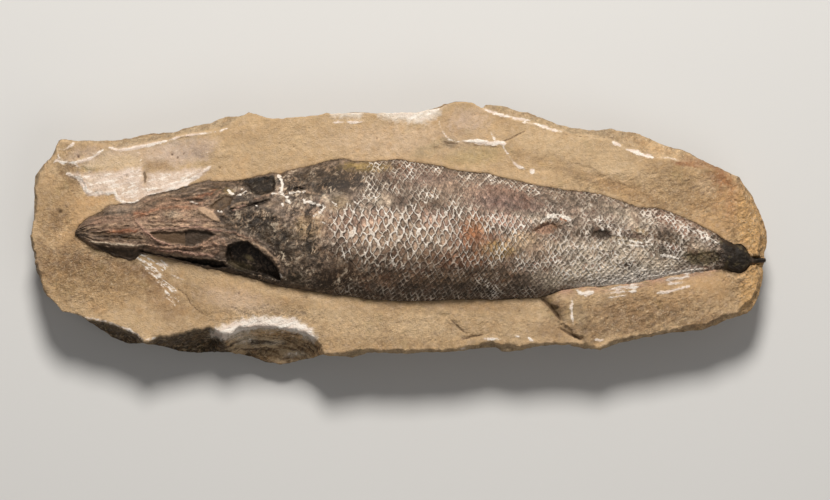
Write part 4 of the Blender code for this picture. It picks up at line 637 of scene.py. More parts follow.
def rough(place, size, seed=0, octaves=3, gain=0.5):
    """Repeatable unevenness, about -1 to 1, with its broadest features size mm across.

    size may be one for each axis, seed numbers the pattern, and gain is how strong each finer octave is.
    """
    total, strength, weight = np.zeros(len(place)), 1.0, 0.0
    spot = place / size
    for octave in range(octaves):
        corner_cell = np.floor(spot)
        part = spot - corner_cell
        ease = part**3 * (part * (part * 6 - 15) + 10)
        for corner in itertools.product((0, 1), repeat=place.shape[1]):
            corner = np.array(corner)
            share = np.prod(np.where(corner, ease, 1 - ease), axis=1)
            cells = corner_cell + corner
            slope = sum(
                (random_at(cells, seed * 31 + octave * 7 + k) * 2 - 1) * (part[:, k] - corner[k])
                for k in range(place.shape[1])
            )
            total += strength * share * slope
        weight += strength
        strength *= gain
        spot = spot * 2.03 + 11.7
        spot[:, :2] = spot[:, :2] @ [[0.8, 0.6], [-0.6, 0.8]]
    return total / weight * 2.6


def wander(place, size, amount, seed):
    """The places, each moved by up to about amount mm in a repeatable way that changes over size mm."""
    return place + amount * np.stack([rough(place, size, seed, 2), rough(place, size, seed + 1, 2)], axis=1)


def distance(line, place, reach=12.0, closed=False):
    """How far each place is from a line, up to reach mm, on which side (+1 left), and how far along it."""
    line = np.asarray(line, float)
    if closed:
        line = np.vstack([line, line[:1]])
    gap, side, along = np.full(len(place), float(reach)), np.ones(len(place)), np.zeros(len(place))
    near = np.all((place > line.min(0) - reach) & (place < line.max(0) + reach), axis=1)
    spots = place[near]
    best, sides, shares = gap[near], side[near], along[near]
    steps = np.hypot(*np.diff(line, axis=0).T)
    walked = np.concatenate([[0], np.cumsum(steps)]) / steps.sum()
    for k, (a, b) in enumerate(zip(line, line[1:])):
        run, from_a = b - a, spots - a
        share = np.clip(from_a @ run / (run @ run), 0, 1)
        away = np.hypot(*(from_a - share[:, None] * run).T)
        closer = away < best
        best[closer] = away[closer]
        sides[closer] = np.where(run[0] * from_a[closer, 1] > run[1] * from_a[closer, 0], 1, -1)
        shares[closer] = walked[k] + share[closer] * (walked[k + 1] - walked[k])
    gap[near], side[near], along[near] = best, sides, shares
    return gap, side, along


def inside(rim, place):
    """Whether each place lies within a closed outline."""
    odd = np.zeros(len(place), bool)
    rim = np.asarray(rim, float)
    for (x0, y0), (x1, y1) in zip(rim, np.roll(rim, -1, axis=0)):
        if y0 != y1:
            crosses = (y0 > place[:, 1]) != (y1 > place[:, 1])
            odd ^= crosses & (place[:, 0] < x0 + (place[:, 1] - y0) * (x1 - x0) / (y1 - y0))
    return odd


def depth_within(rim, place, reach=5.0):
    """Distance in from a closed outline in mm, negative outside it."""
    away = distance(rim, place, reach, closed=True)[0]
    return np.where(inside(rim, place), away, -away)


def resample(points, count):
    """count places at even distances round a closed outline."""
    ring = np.vstack([points, points[:1]]).astype(float)
    walked = np.concatenate([[0], np.cumsum(np.hypot(*np.diff(ring, axis=0).T))])
    at = np.linspace(0, walked[-1], count, endpoint=False)
    return np.stack([np.interp(at, walked, ring[:, k]) for k in (0, 1)], axis=1)


def towards_spine(place):
    """The nearest point of the spine to each place."""
    a, b = np.array(SPINE)
    share = np.clip((place - a) @ (b - a) / ((b - a) @ (b - a)), 0, 1)
    return a + share[:, None] * (b - a)


# ---- surfaces ----
class Surface:
    """Places of a surface with their height, tint and fields, to which features are added one by one."""

    def __init__(self, place, height, tone):
        self.place, self.height = place, height
        self.tint = np.tile(colour(tone), (len(place), 1))
        self.ragged = 0.6 * rough(place, 1.6, 71) + 0.4 * rough(place, 0.7, 72, 2)
        self.fields = {}

    def field(self, name):
        return self.fields.setdefault(name, np.zeros(len(self.place)))

    def at_least(self, name, values):
        self.fields[name] = np.maximum(self.field(name), values)

    def stroke(self, line, half_width, fray=0.5, reach=1.4):
        """0.5 at half_width from a line, more nearer to it and less farther off, by 1 over reach mm."""
        away, _, along = distance(line, self.place, np.max(half_width) * 2 + reach)
        width = half_width * (0.45 + 0.55 * np.sqrt(np.clip(4 * along * (1 - along), 0, 1)))
        return np.clip(0.5 + (width - away - fray * half_width * self.ragged) / reach, 0, 1)

    def strokes(self, name, table, share=1.0, **edge):
        """Draws the lines of a table in a field, at a share of the half width that the table gives each."""
        for line, half_width in table:
            self.at_least(name, self.stroke(line, half_width * share, **edge))

    def patch(self, rim, edge=0.7, fray=0.6):
        """0.5 on a closed outline, 1 within it and 0 outside, changing over edge mm on either side."""
        return np.clip(0.5 + (depth_within(rim, self.place) + fray * self.ragged) / (2 * edge), 0, 1)

    def smudge(self, shape, fray=0.35):
        """1 in the middle of an oval smudge, falling to 0 at its edge."""
        middle_x, middle_y, half_length, half_width, turn = shape
        c, s = math.cos(math.radians(turn)), math.sin(math.radians(turn))
        x, y = self.place[:, 0] - middle_x, self.place[:, 1] - middle_y
        out = np.hypot((x * c + y * s) / half_length, (y * c - x * s) / half_width)
        return smooth(1.25 - out + fray * self.ragged)

    def paint(self, mask, tone, strength=1.0):
        cover = np.clip(mask * strength, 0, 1)[:, None]
        self.tint = self.tint * (1 - cover) + colour(tone) * cover

    def smudges(self, table, fray=0.5):
        """Paints the smudges of a table, one over the other."""
        for *shape, tone, strength in table:
            self.paint(self.smudge(shape, fray), tone, strength)


def skin(name, loops, spread):
    """A closed mesh through loops of vertices, each with as many as the one before or half as many.

    spread(level, k, first, turn, place) gives the map of a row of faces: k numbers the row, level is the loop
    that each corner lies on, first how far round each face begins, turn how far round each corner is, and
    place where it is. k is -1 and -2 for the two end faces.
    """
    counts = [len(loop) for loop in loops]
    starts = np.concatenate([[0], np.cumsum(counts)]).astype(int)
    corners, sizes, maps = [], [], []
    stack = np.vstack(loops)
    for k, (upper, lower) in enumerate(zip(counts, counts[1:])):
        i = np.arange(lower)
        low, low_after = starts[k + 1] + i, starts[k + 1] + (i + 1) % lower
        if upper == lower:
            face = np.stack([starts[k] + i, low, low_after, starts[k] + (i + 1) % upper], axis=1)
            turn = np.stack([i, i, i + 1, i + 1], axis=1) / lower
        else:
            high, high_after = starts[k] + 2 * i, starts[k] + (2 * i + 2) % upper
            face = np.stack([high, low, low_after, high_after, high + 1], axis=1)
            turn = np.stack([i, i, i + 1, i + 1, i + 0.5], axis=1) / lower
        lowered = np.isin(face, np.arange(starts[k + 1], starts[k + 2]))
        maps.append(spread(k + lowered, k, i[:, None] / lower + 0 * turn, turn, stack[face]).reshape(-1, 2))
        corners.append(face.ravel())
        sizes.append(np.full(lower, face.shape[1]))
    for k, loop, start in ((-1, loops[0], 0), (-2, loops[-1], starts[-2])):
        order = np.arange(len(loop)) if k == -1 else np.arange(len(loop))[::-1]
        corners.append(start + order)
        sizes.append([len(loop)])
        maps.append(spread(k, k, order, order, loop[order]))
    corners, sizes = np.concatenate(corners), np.concatenate(sizes)
    mesh = bpy.data.meshes.new(name)
    mesh.vertices.add(len(stack))
    mesh.vertices.foreach_set("co", (stack * MM).ravel())
    mesh.loops.add(len(corners))
    mesh.loops.foreach_set("vertex_index", corners.astype(np.int32))
    mesh.polygons.add(len(sizes))
    mesh.polygons.foreach_set("loop_start", np.concatenate([[0], np.cumsum(sizes)[:-1]]).astype(np.int32))
    mesh.update(calc_edges=True)
    mesh.uv_layers.new(name="OFBake").uv.foreach_set("vector", np.vstack(maps).astype(np.float32).ravel())
    mesh.validate()
    mesh.shade_smooth()
    made = bpy.data.objects.new(name, mesh)
    bpy.context.scene.collection.objects.link(made)
    return made


def store(mesh, surface):
    """Writes the surface's tint and fields to mesh as attributes of its points."""
    tint = np.column_stack([surface.tint, np.ones(len(surface.tint))]).astype(np.float32)
    mesh.attributes.new("tint", "FLOAT_COLOR", "POINT").data.foreach_set("color", tint.ravel())
    for name, values in surface.fields.items():
        mesh.attributes.new(name, "FLOAT", "POINT").data.foreach_set("value", values.astype(np.float32))


# ---- the nodule ----
def broken_rim(surface):
    """How far the face has fallen away towards the rim, in mm, with ledges in its chips; and the chips."""
    place = surface.place
    x, y = place.T
    jagged = wander(wander(place, 4.0, 0.5, 5), 1.3, 0.30, 7)
    fall = np.zeros(len(place))
    for crest, most, run in BREAKS:
        away, side, _ = distance(crest, jagged, 14)
        drop = most * (1 - np.exp(-away / run)) / (1 - math.exp(-1))
        fall = np.where((side < 0) & (away < 14), np.maximum(fall, drop), fall)
    fall = np.minimum(fall, 12.0)
    chips = smooth((-22.0 - y) / 3) * smooth((-18.0 - x) / 4) * smooth(fall - 0.2)
    layer = (fall + 0.9 * rough(place, (9.0, 5.0), 21, 3)) / 1.4
    ledge = (np.floor(layer) + smooth((layer % 1 - 0.4) / 0.5)) * 1.4
    return fall + chips * 0.8 * (ledge - layer * 1.4), chips


def face_relief(surface, level, away_from_fish):
    """Gives the split face its height. Returns how far it falls towards the rim, and where the chips are."""
    place = surface.place
    coarse = np.full(len(place), 0.14)
    for *shape, amount in ROUGH_GROUND:
        coarse = np.maximum(coarse, amount * surface.smudge(shape))
    fall, chips = broken_rim(surface)
    fallen = smooth(fall / 2)
    height = level - fall + 0.40 * rough(place, 26, 1) + 0.22 * rough(place, 7, 2, 3)
    right = smooth((place[:, 0] - 30) / 25)
    rays = rough(place @ [[0.91, -0.42], [0.42, 0.91]], (5.0, 1.6), 8, 4, 0.65)
    lumps = rough(place, 3.0, 12, 4, 0.65)
    grain = 0.12 * rough(place, 2.4, 3, 4, 0.65) + 0.06 * rough(place, 1.0, 4, 2)
    grain += coarse * (0.34 * right * rays + 0.30 * (1 - 0.5 * right) * lumps)
    height += grain + fallen * (0.30 + 0.25 * chips) * rough(place, 3.2, 9, 4, 0.6)
    jagged = wander(wander(place, 3.4, 1.0, 13), 1.1, 0.35, 15)
    for line, lift, reach in STEPS:
        away, side, along = distance(line, jagged, reach)
        rise = lift * smooth(away / 0.8) * (1 - smooth(away / reach))
        height += np.where(side > 0, rise * smooth(5 * along) * smooth(5 - 5 * along), 0)
    shaken = wander(place, 1.8, 0.35, 17)
    for line, depth, width in GROOVES:
        height -= 0.8 * depth * np.exp(-((distance(line, shaken, 4)[0] / (1.3 * width)) ** 2))
    for centre, radius in PITS:
        height -= 0.35 * np.exp(-((np.hypot(*(place - centre).T) / radius) ** 2))
    collar = 0.25 + 0.40 * rough(place, 3.0, 19, 3)
    height += collar * np.exp(-((away_from_fish / 0.9) ** 2))
    surface.height = height
    surface.fields["coarse"] = np.clip(coarse + 0.8 * fallen, 0, 1.6)
    return fall, chips


def paint_chips(surface, fall, chips):
    """Paints the three chips at the lower edge: layered stone with painted shade, deeper down and over the two
    smaller chips, and a pale crust on the largest.
    """
    place = surface.place
    down = np.column_stack([place[:, 0], 1.3 * fall + 0.4 * rough(place, 3, 38, 2)])
    strata = rough(down, (7.0, 1.3), 35, 3, 0.6)
    large = smooth((place[:, 0] + 51.5 + 0.8 * surface.ragged) / 2)
    low = smooth((fall - 4) / 6)
    surface.paint(chips, "scar", 0.92)
    surface.paint(chips * large, "honey", 0.8)
    # painted shade: darker with depth in all the chips, and dark all over the two smaller ones
    surface.paint(chips * low, "shadow", 0.5)
    surface.paint(chips * (1 - large) * smooth((fall - 0.4) / 1.6), "shadow", 0.82)
    surface.paint(chips * large * smooth(0.1 - strata * 2.4), "shadow", 0.85)
    surface.paint(chips * large * smooth(strata * 3.0 + 0.1), "pale_tan", 0.8 * (1 - 0.4 * low))
    crust = large * chips * (1 - smooth((fall - 1.0) / (6.0 + 4.5 * strata)))
    surface.paint(crust * (0.8 + 0.8 * strata), "apricot", 0.9)
    surface.at_least("calcite", crust * (0.30 + 0.8 * strata))
    for shape in CHIP_PATCHES:
        pale = chips * large * surface.smudge(shape)
        surface.paint(pale, "cream", 0.9)
        surface.at_least("calcite", pale * (0.40 + 0.8 * strata))
    surface.fields["layer"] = chips * (0.12 + 0.4 * large + 0.5 * surface.smudge(CHIP_BEDS))
    surface.fields["fall"] = fall + 0.5 * rough(place, 4, 38, 2)


def face_colours(surface, away_from_fish, fall, chips):
    """Paints the face: mottling, stains, painted shade round the fish and on the chips, calcite, fin rays and
    cracks.
    """
    place = surface.place
    x, y = place.T
    surface.paint(0.5 + 0.9 * rough(place, 18, 31, 3), "pale_tan", 0.35)
    surface.paint(smooth(rough(place, 9, 32, 4) * 1.5), "brown", 0.32)
    surface.paint(smooth(rough(place, 5, 33, 4) * 1.6 - 0.2), "soil", 0.12 + 0.25 * surface.field("coarse"))
    surface.paint(smooth(rough(place, 6, 34, 4) * 1.8 - 0.5), "honey", 0.5)
    surface.smudges(STAINS)
    # Partly the stone's dark rim and partly painted contact shade: umber in a thin ring round the fish, left
    # off along the tail's foot.
    beside = np.exp(-((away_from_fish / (0.7 + 0.4 * surface.ragged)) ** 2))
    tail_foot = smooth((x - 44) / 4) * (1 - smooth((x - 90) / 5)) * (y < -6)
    surface.paint(beside * (1 - tail_foot), "umber", 0.4)
    broken = smooth(1 + 2 * rough(place, (6, 1.5), 39, 3))
    surface.paint(np.exp(-((away_from_fish / 1.6) ** 2)) * tail_foot * broken, "rose", 0.7)
    surface.paint(smooth(fall / 2) * (1 - chips) * (1 - smooth((x - 55) / 20)), "grey", 0.45)
    paint_chips(surface, fall, chips)
    surface.paint(smooth((x - 97 + 2 * surface.ragged) / 6), "gold", 0.5)
    for rim, tone, strength, lift, bright in CRUSTS:
        cover = surface.patch(rim, 0.9, 1.1)
        surface.paint(cover, tone, strength)
        surface.height += lift * smooth(cover)
        surface.fields["coarse"] *= 1 - 0.7 * smooth(cover) * (tone == "shell")
        surface.at_least("calcite", cover * bright)
    surface.strokes("calcite", VEINS, 1.0 + 0.7 * rough(place, 4.0, 37, 2))
    surface.strokes("calcite", FIN_RAYS, 0.75, fray=0.3, reach=1.0)
    surface.strokes("crack", CRACKS, fray=0.6)
    for rim in FANS:
        surface.at_least("fan", surface.patch(rim, 1.0, 1.0))
    for centre, radius in PITS:
        surface.at_least("crack", np.clip(0.5 + (radius * 0.7 - np.hypot(*(place - centre).T)) / 1.4, 0, 1))
    surface.height += 0.16 * smooth(surface.field("calcite") * 2.4 - 0.9)


def body_edges(x):
    """The fish's lower and upper edge at each x, with the raggedness of broken bone except at the stub."""
    at = np.column_stack([x, x])
    frayed = 0.06 + 0.16 * smooth((x - 38) / 12)
    low = 0.16 * rough(at, 2.4, 91, 3) + 0.5 * frayed * rough(at, 0.8, 93, 2)
    top = 0.18 * rough(at + 50, 2.4, 92, 3) + frayed * rough(at + 50, 0.8, 94, 2)
    bone = np.where(x < STUB_BEGINS, 1.0, 0.0)
    return table_value(BELLY_EDGE, x) + bone * low, table_value(BACK_EDGE, x) + bone * top


def bed_rim(rim):
    """Where the way from each rim point to the spine crosses the bed's edge, and where it ends."""
    x = np.arange(SNOUT_END, BED_END, 0.4)
    low, top = body_edges(x)
    ring = np.vstack([np.column_stack([x, top + 0.02]), np.column_stack([x, low - 0.02])[::-1]])
    hub = towards_spine(rim)
    best = np.zeros(len(rim))
    ray = rim - hub
    for a, b in zip(ring, np.roll(ring, -1, axis=0)):
        run = b - a
        cross = ray[:, 0] * run[1] - ray[:, 1] * run[0]
        cross = np.where(np.abs(cross) < 1e-9, 1e-9, cross)
        t = ((a[0] - hub[:, 0]) * run[1] - (a[1] - hub[:, 1]) * run[0]) / cross
        s = ((a[0] - hub[:, 0]) * ray[:, 1] - (a[1] - hub[:, 1]) * ray[:, 0]) / cross
        best = np.where((s >= 0) & (s <= 1) & (t > best) & (t < 1), t, best)
    return hub + best[:, None] * ray, hub


def wall_loop(rim, top, share, narrowing):
    """One loop of the wall below the rim, at a share of the way down to where the wall would end."""
    hub = towards_spine(rim)
    height = top * (1 - share) - BELOW_SEAT * share
    place = np.column_stack([rim, height])
    broken = 0.040 * rough(place, 17, 51, 3) + 0.022 * rough(place, 5.5, 52, 3)
    broken += 0.010 * rough(place, 1.8, 53, 3)
    layers = 0.014 * rough(np.column_stack([rim * 0.12, height]), 1.6, 54, 2)
    inset = narrowing * share**2.3 + (broken + layers) * np.sin(np.pi * np.clip(share * 1.2 + 0.03, 0, 1))
    moved = rim + (hub - rim) * inset[:, None]
    return np.column_stack([moved, height])


def nodule_map(face_rows, wall_rows):
    """The nodule's map: the face seen from above, the wall in three strips, hidden parts in the rest."""

    def spread(level, k, first, turn, place):
        if k < 0:
            left = 0.02 if k == -1 else 0.52
            return place[:, :2] / [460.0, 1000.0] + [left + 0.23, 0.925]
        if k < 2:
            return np.stack([turn, 0.985 + 0.006 * level], axis=-1)
        if k < face_rows + 1:
            return place[..., :2] / [219.0, 195.0] + [0.5, 0.205]
        strip = np.floor(first * 3)
        up = 0.42 + 0.152 * strip + 0.146 * (level - face_rows - 1) / wall_rows
        return np.stack([turn * 3 - strip, up], axis=-1)

    return spread


def build_nodule(settings):
    """The nodule: bed for the fish, split face, broken rim, rounded wall and flat seat."""
    level = settings.face_level / MM
    rim = resample(OUTLINE, settings.rim_points)
    rim = wander(wander(rim, 3.0, 0.22, 41), 1.0, 0.10, 43)
    inner, hub = bed_rim(rim)
    rows = np.linspace(0, 1, settings.face_rows)
    rows = rows + 0.02 * np.sin(2 * np.pi * rows)
    face = np.concatenate([inner + (rim - inner) * share for share in rows])
    away_from_fish = np.hypot(*(face - np.tile(inner, (len(rows), 1))).T)
    surface = Surface(face, np.zeros(len(face)), "tan")
    fall, chips = face_relief(surface, level, away_from_fish)
    face_colours(surface, away_from_fish, fall, chips)
    trench = (face[:, 0] > TRENCH_BEGINS) & (np.abs(face[:, 1] - TRENCH_MIDDLE) < TRENCH_HALF_WIDTH)
    surface.height = np.where(trench, np.minimum(surface.height, TRENCH_FLOOR), surface.height)
    count = len(rim)
    heights = surface.height.reshape(-1, count)
    loops = [np.column_stack([inner + (hub - inner) * 0.45, np.full(count, BED_FLOOR)])]
    loops.append(np.column_stack([inner, np.minimum(heights[0] - 0.4, BED_SILL)]))
    loops += [np.column_stack([spot, z]) for spot, z in zip(face.reshape(-1, count, 2), heights)]
    half_rim, half_top = rim[::2], heights[-1][::2]
    last = half_top / (half_top + BELOW_SEAT)
    shares = np.linspace(0, 1, settings.wall_rows + 1)[1:]
    loops += [wall_loop(half_rim, half_top, share * last, settings.narrowing) for share in shares]
    loops[-1][:, 2] = 0.0
    made = skin("nodule_stone", loops, nodule_map(len(rows), len(shares)))
    dress_wall(surface, np.vstack(loops[-len(shares) :]), 2 * count, level)
    store(made.data, surface)
    return made


def dress_wall(surface, wall, hidden, level):
    """Gives the bed under the fish painted shadow, and the wall its own tint and fields, beside the face's in
    the order of the mesh's vertices.
    """
    x, y, z = wall.T
    beds = wall * [0.25, 0.25, 1.0]
    side = Surface(wall, z, "brown")
    side.paint(0.5 + rough(wall, 14, 62, 3), "tan", 0.55)
    side.paint(smooth(rough(beds, 2.6, 63, 3) * 1.6), "soil", 0.5)
    side.paint(smooth(rough(wall, 6, 64, 4) * 1.6 - 0.2), "grey", 0.5)
    side.paint(smooth(rough(wall, 8, 66, 4) * 2 - 0.7), "umber", 0.4)
    chips = smooth((-20.0 - y) / 3) * smooth((-19.0 - x) / 4) * smooth((x + 96) / 3)
    side.paint(chips, "scar", 0.85)
    side.paint(chips * smooth(0.4 - rough(beds, 2.0, 67, 3) * 1.6), "shadow", 0.6)
    side.paint(smooth((x - 94) / 6) * smooth((z - 2) / 8), "gold", 0.45)
    # the bed under the fish is painted shadow
    surface.tint = np.vstack([np.tile(colour("shadow"), (hidden, 1)), surface.tint, side.tint])
    veins = smooth((rough(wall * [0.5, 0.5, 1.0], 7, 65, 4, 0.6) - 0.55) * 5)
    usual = dict(coarse=1.3, fall=level - z, layer=0.15 + 0.7 * chips, calcite=0.9 * veins)
    for name, values in surface.fields.items():
        on_wall = np.zeros(len(wall)) + usual.get(name, 0.0)
        surface.fields[name] = np.concatenate([np.zeros(hidden), values, on_wall])


# ---- the fish ----
def scale_lattice(x, across, half, finer):
    """The scales' diamond lattice: two diagonals for each place, whose whole numbers are the scales' rims."""
    grid = np.arange(-110.0, 125.0, 0.5)
    walked = np.cumsum(0.5 * finer / table_value(SCALE_PITCH, grid))
    lean = np.where(across > 0, 3.0, 5.0) * across**2 * (1 - 0.75 * smooth((x - 12) / 30)) * (half / 20)
    along = np.interp(x + lean, grid, walked)
    up = finer * half / table_value(SCALE_HEIGHT, x) * (across + 0.25 * across**3)
    return up + along, up - along


def shaken_lattice(place, lattice, loose, seed):
    """A lattice with its lines bent, so that no two scales are alike."""
    bent = []
    for k, turn in enumerate(lattice):
        shake = rough(place, 1.5, seed + 2 * k, 2) + 0.8 * rough(place, 3.2, seed + 4 + k, 2)
        bent.append(turn + loose * shake + 0.35 * rough(place, 10, seed + 1 + 2 * k, 2))
    return bent


def scale_relief(s, t):
    """The scales' height, about -0.5 to 0.5: raised rims, and a slope up to each scale's lower end."""
    rims = [1 - smooth(np.abs(turn - np.round(turn)) / 0.28) for turn in (s, t)]
    slope = (s % 1 + t % 1) / 2
    return 0.7 * np.maximum(*rims) - 0.35 + 0.5 * (0.5 - slope)


def body_profile(x, across):
    """How high the body stands at each place, from 0 at its edges to 1 at its crest."""
    above = across > CREST_AT
    out = np.where(above, (across - CREST_AT) / (1 - CREST_AT), (CREST_AT - across) / (1 + CREST_AT))
    gentle = smooth((x - 44.0) / 16.0) * (across < CREST_AT)
    bulge = np.where(above, 2.1, 3.0 - 0.8 * gentle)
    return np.clip(1 - np.clip(out, 0, 1) ** bulge, 0, 1) ** (0.75 + 0.2 * gentle)


def build_fish(settings):
    """The petrified fish: skull, gill opening, scaled flank and the broken end of the backbone."""
    head = np.arange(SNOUT_END, FLANK_BEGINS, settings.head_step / MM)
    flank = np.arange(FLANK_BEGINS, STUB_END, settings.flank_step / MM)
    xs = np.concatenate([head, flank, [STUB_END]])
    share = np.linspace(-1, 1, settings.fish_rows)
    rows = 0.45 * share + 0.55 * np.sin(share * np.pi / 2)
    low, top = body_edges(xs)
    x = np.repeat(xs, len(rows))
    across = np.tile(rows, len(xs))
    deep = np.repeat(top - low, len(rows))
    place = np.column_stack([x, np.repeat(low, len(rows)) + deep * (across + 1) / 2])
    surface = Surface(place, table_value(FOOT, x) + table_value(CREST, x) * body_profile(x, across), "taupe")
    dress_fish(surface, across, deep, settings)
    y, z = place[:, 1].reshape(len(xs), -1), surface.height.reshape(len(xs), -1)
    side, keel, foot = table_value(SIDE_DEPTH, xs), table_value(KEEL, xs), table_value(FOOT, xs)
    loops = []
    for i, here in enumerate(xs):
        middle, half, sill = (top[i] + low[i]) / 2, (top[i] - low[i]) * 0.275, foot[i] - side[i]
        base = min(keel[i], sill - 0.1)
        hidden = [(top[i], sill), (middle + half, base), (middle - half, base), (low[i], sill)]
        ring = np.vstack([np.column_stack([y[i], z[i]]), hidden])
        loops.append(np.column_stack([np.full(len(ring), here), ring]))
    made = skin("fish_body", loops, fish_map(len(xs), len(rows)))
    widen(surface, len(xs), len(rows))
    store(made.data, surface)
    return made


def fish_map(columns, rows):
    """The fish's map: its front half over its back half, each with the hidden underside beside it."""

    def spread(level, k, first, turn, place):
        if k < 0:
            return place[:, 1:] / 400.0 + [0.2 if k == -1 else 0.6, 0.93]
        half = (columns - 1) // 2
        back = float(k >= half)
        u = (level - back * half) / (half + 1)
        step = turn * (rows + UNDERSIDE)
        v = np.where(step <= rows - 1, 0.41 * step / (rows - 1), 0.41 + 0.008 * (step - rows + 1))
        return np.stack([u, 0.005 + 0.46 * back + v], axis=-1)

    return spread


def widen(surface, columns, rows):
    """Repeats the last value of each column for the vertices of the hidden underside."""

    def grown(values):
        grid = values.reshape(columns, rows, -1)
        grid = np.concatenate([grid, np.repeat(grid[:, -1:], UNDERSIDE, axis=1)], axis=1)
        return grid.reshape(columns * (rows + UNDERSIDE), -1)

    surface.tint = grown(surface.tint)
    surface.fields = {name: grown(values).ravel() for name, values in surface.fields.items()}


def bony_grain(surface, across, headness):
    """Streaks along the snout and skull, lumps on the gill cover, and crumbs elsewhere. About -1 to 1."""
    place = surface.place
    x = place[:, 0]
    bent = np.column_stack([x, across * 9 + 0.35 * rough(place, 5, 106, 2)])
    snout = rough(bent, (13.0, 1.3), 101, 4, 0.55) * 1.6
    skull = wander(place @ [[0.985, -0.17], [0.17, 0.985]], 4.0, 0.8, 107)
    skull = rough(skull, (3.6, 1.2), 102, 4, 0.65) * 1.5
    wavy = wander(place, 3.0, 1.2, 108)
    lumps = 1 - np.abs(rough(wavy @ [[0.8, 0.6], [-0.6, 0.8]], (2.2, 1.4), 103, 3, 0.6)) * 2.6
    crumbs = rough(place, 1.5, 104, 4, 0.65)
    to_skull, to_cover = smooth((x + 77 + 3 * surface.ragged) / 7), smooth((x + 51 + 3 * surface.ragged) / 6)
    bone = (snout * (1 - to_skull) + skull * to_skull) * (1 - to_cover) + lumps * to_cover
    return headness * (0.75 * bone + 0.40 * crumbs) + (1 - headness) * crumbs * 0.6


def paint_bone(surface, grain, patches, headness):
    """Paints the fish's ground, its tints, and the light and dark of its bone."""
    snouty = 1 - smooth((surface.place[:, 0] + 53) / 6)
    surface.paint(0.5 + 0.8 * rough(surface.place, 8, 110, 4), "bark", 0.35)
    surface.smudges(TINTS)
    surface.paint(smooth(patches * 1.8 - 0.1) * headness, "sand", 0.15)
    surface.paint(smooth(patches * 1.8 - 0.1) * snouty, "sand", 0.30)
    surface.paint(smooth(-patches * 1.8 - 0.1) * headness, "bark", 0.45)
    surface.paint(smooth((grain - 0.15) * 1.6) * snouty, "sand", 0.5)
    surface.paint(smooth((grain - 0.45) * 2.0) * headness, "cream", 0.22)
    surface.paint(smooth((-0.20 - grain) * 1.5) * headness, "tar", 0.5)


def raise_ridges(surface, grain):
    """Raises the bones and folds, paints them, and paints shade on the side of each that faces the belly."""
    shaken = wander(wander(surface.place, 2.2, 0.35, 111), 0.8, 0.15, 113)
    for line, lift, half_width, tone, cover in RIDGES:
        away, side, along = distance(line, shaken, half_width * 4 + 1)
        taper = (0.35 + 0.65 * np.sqrt(np.clip(4 * along * (1 - along), 0, 1))) * (1 + 0.35 * surface.ragged)
        mound = np.exp(-((away / (half_width * taper)) ** 2))
        surface.height += 0.7 * lift * mound * taper
        surface.paint(mound * (0.8 + 0.8 * grain), tone, cover * 0.8)
        # painted shade beside each ridge, on the side that faces the belly
        shade = np.exp(-(((away - 1.9 * half_width) / (0.8 * half_width)) ** 2)) * taper
        surface.paint(shade * (side < 0), "tar", 0.30)


def sink_hollows(surface, grain, bumps):
    """Sinks, levels and paints the hollows. Returns where they lie, and where they are windows."""
    sunk = windows = 0.0
    shaken = wander(surface.place, 1.6, 0.22, 115)
    for name, rim, depth, wall, floor in HOLLOWS:
        within = depth_within(rim, shaken, 3)
        window = "window" in name
        sunk = np.maximum(sunk, smooth(within / 0.4))
        windows = np.maximum(windows, smooth(within / 0.4) * window)
        surface.height -= (depth + bumps) * smooth(within / wall)
        # each floor is painted its colour; the tar floors of the gill opening and the gape are painted shade
        surface.paint(smooth(within / 0.35 + 0.4) * (0.9 + (0.1 if window else 0.5) * grain), floor, 0.97)
    return sunk, windows


def crumble_stub(surface, edge_fade):
    """Roughens and darkens the broken end of the backbone."""
    place = surface.place
    x, y = place.T
    stub = smooth(x - 92.2 + 0.25 * (y + 6.5) + 5.0 * surface.ragged) * (1 - smooth(x - 101.5))
    surface.paint(stub, "tar", 0.9)
    surface.paint(stub * smooth(rough(place, 2.0, 117, 3) * 2 - 0.3), "moss", 0.5)
    surface.height += stub * edge_fade * (0.55 * rough(place, 1.7, 105, 4, 0.65) + 0.4)


def paint_edges(surface, across, deep):
    """Paints shade on the fish towards its belly, darkens it along its back, and whitens the lower edge of its
    tail.
    """
    x = surface.place[:, 0]
    # painted shade on the lower flank, towards the belly, from the gill cover to the tail
    surface.paint((1 - smooth((across + 1.0) / 0.42)) * (x > -52) * (1 - smooth((x - 32) / 10)), "tar", 0.50)
    surface.paint(1 - smooth((1 - across) * deep / 2 / 1.1), "tar", 0.35)
    strip = 1 - smooth((1 + across) * deep / 2 / (2.6 + 3.0 * surface.ragged))
    surface.paint(strip * smooth((x - 48) / 6) * (1 - smooth((x - 84) / 6)), "calcite", 0.8)


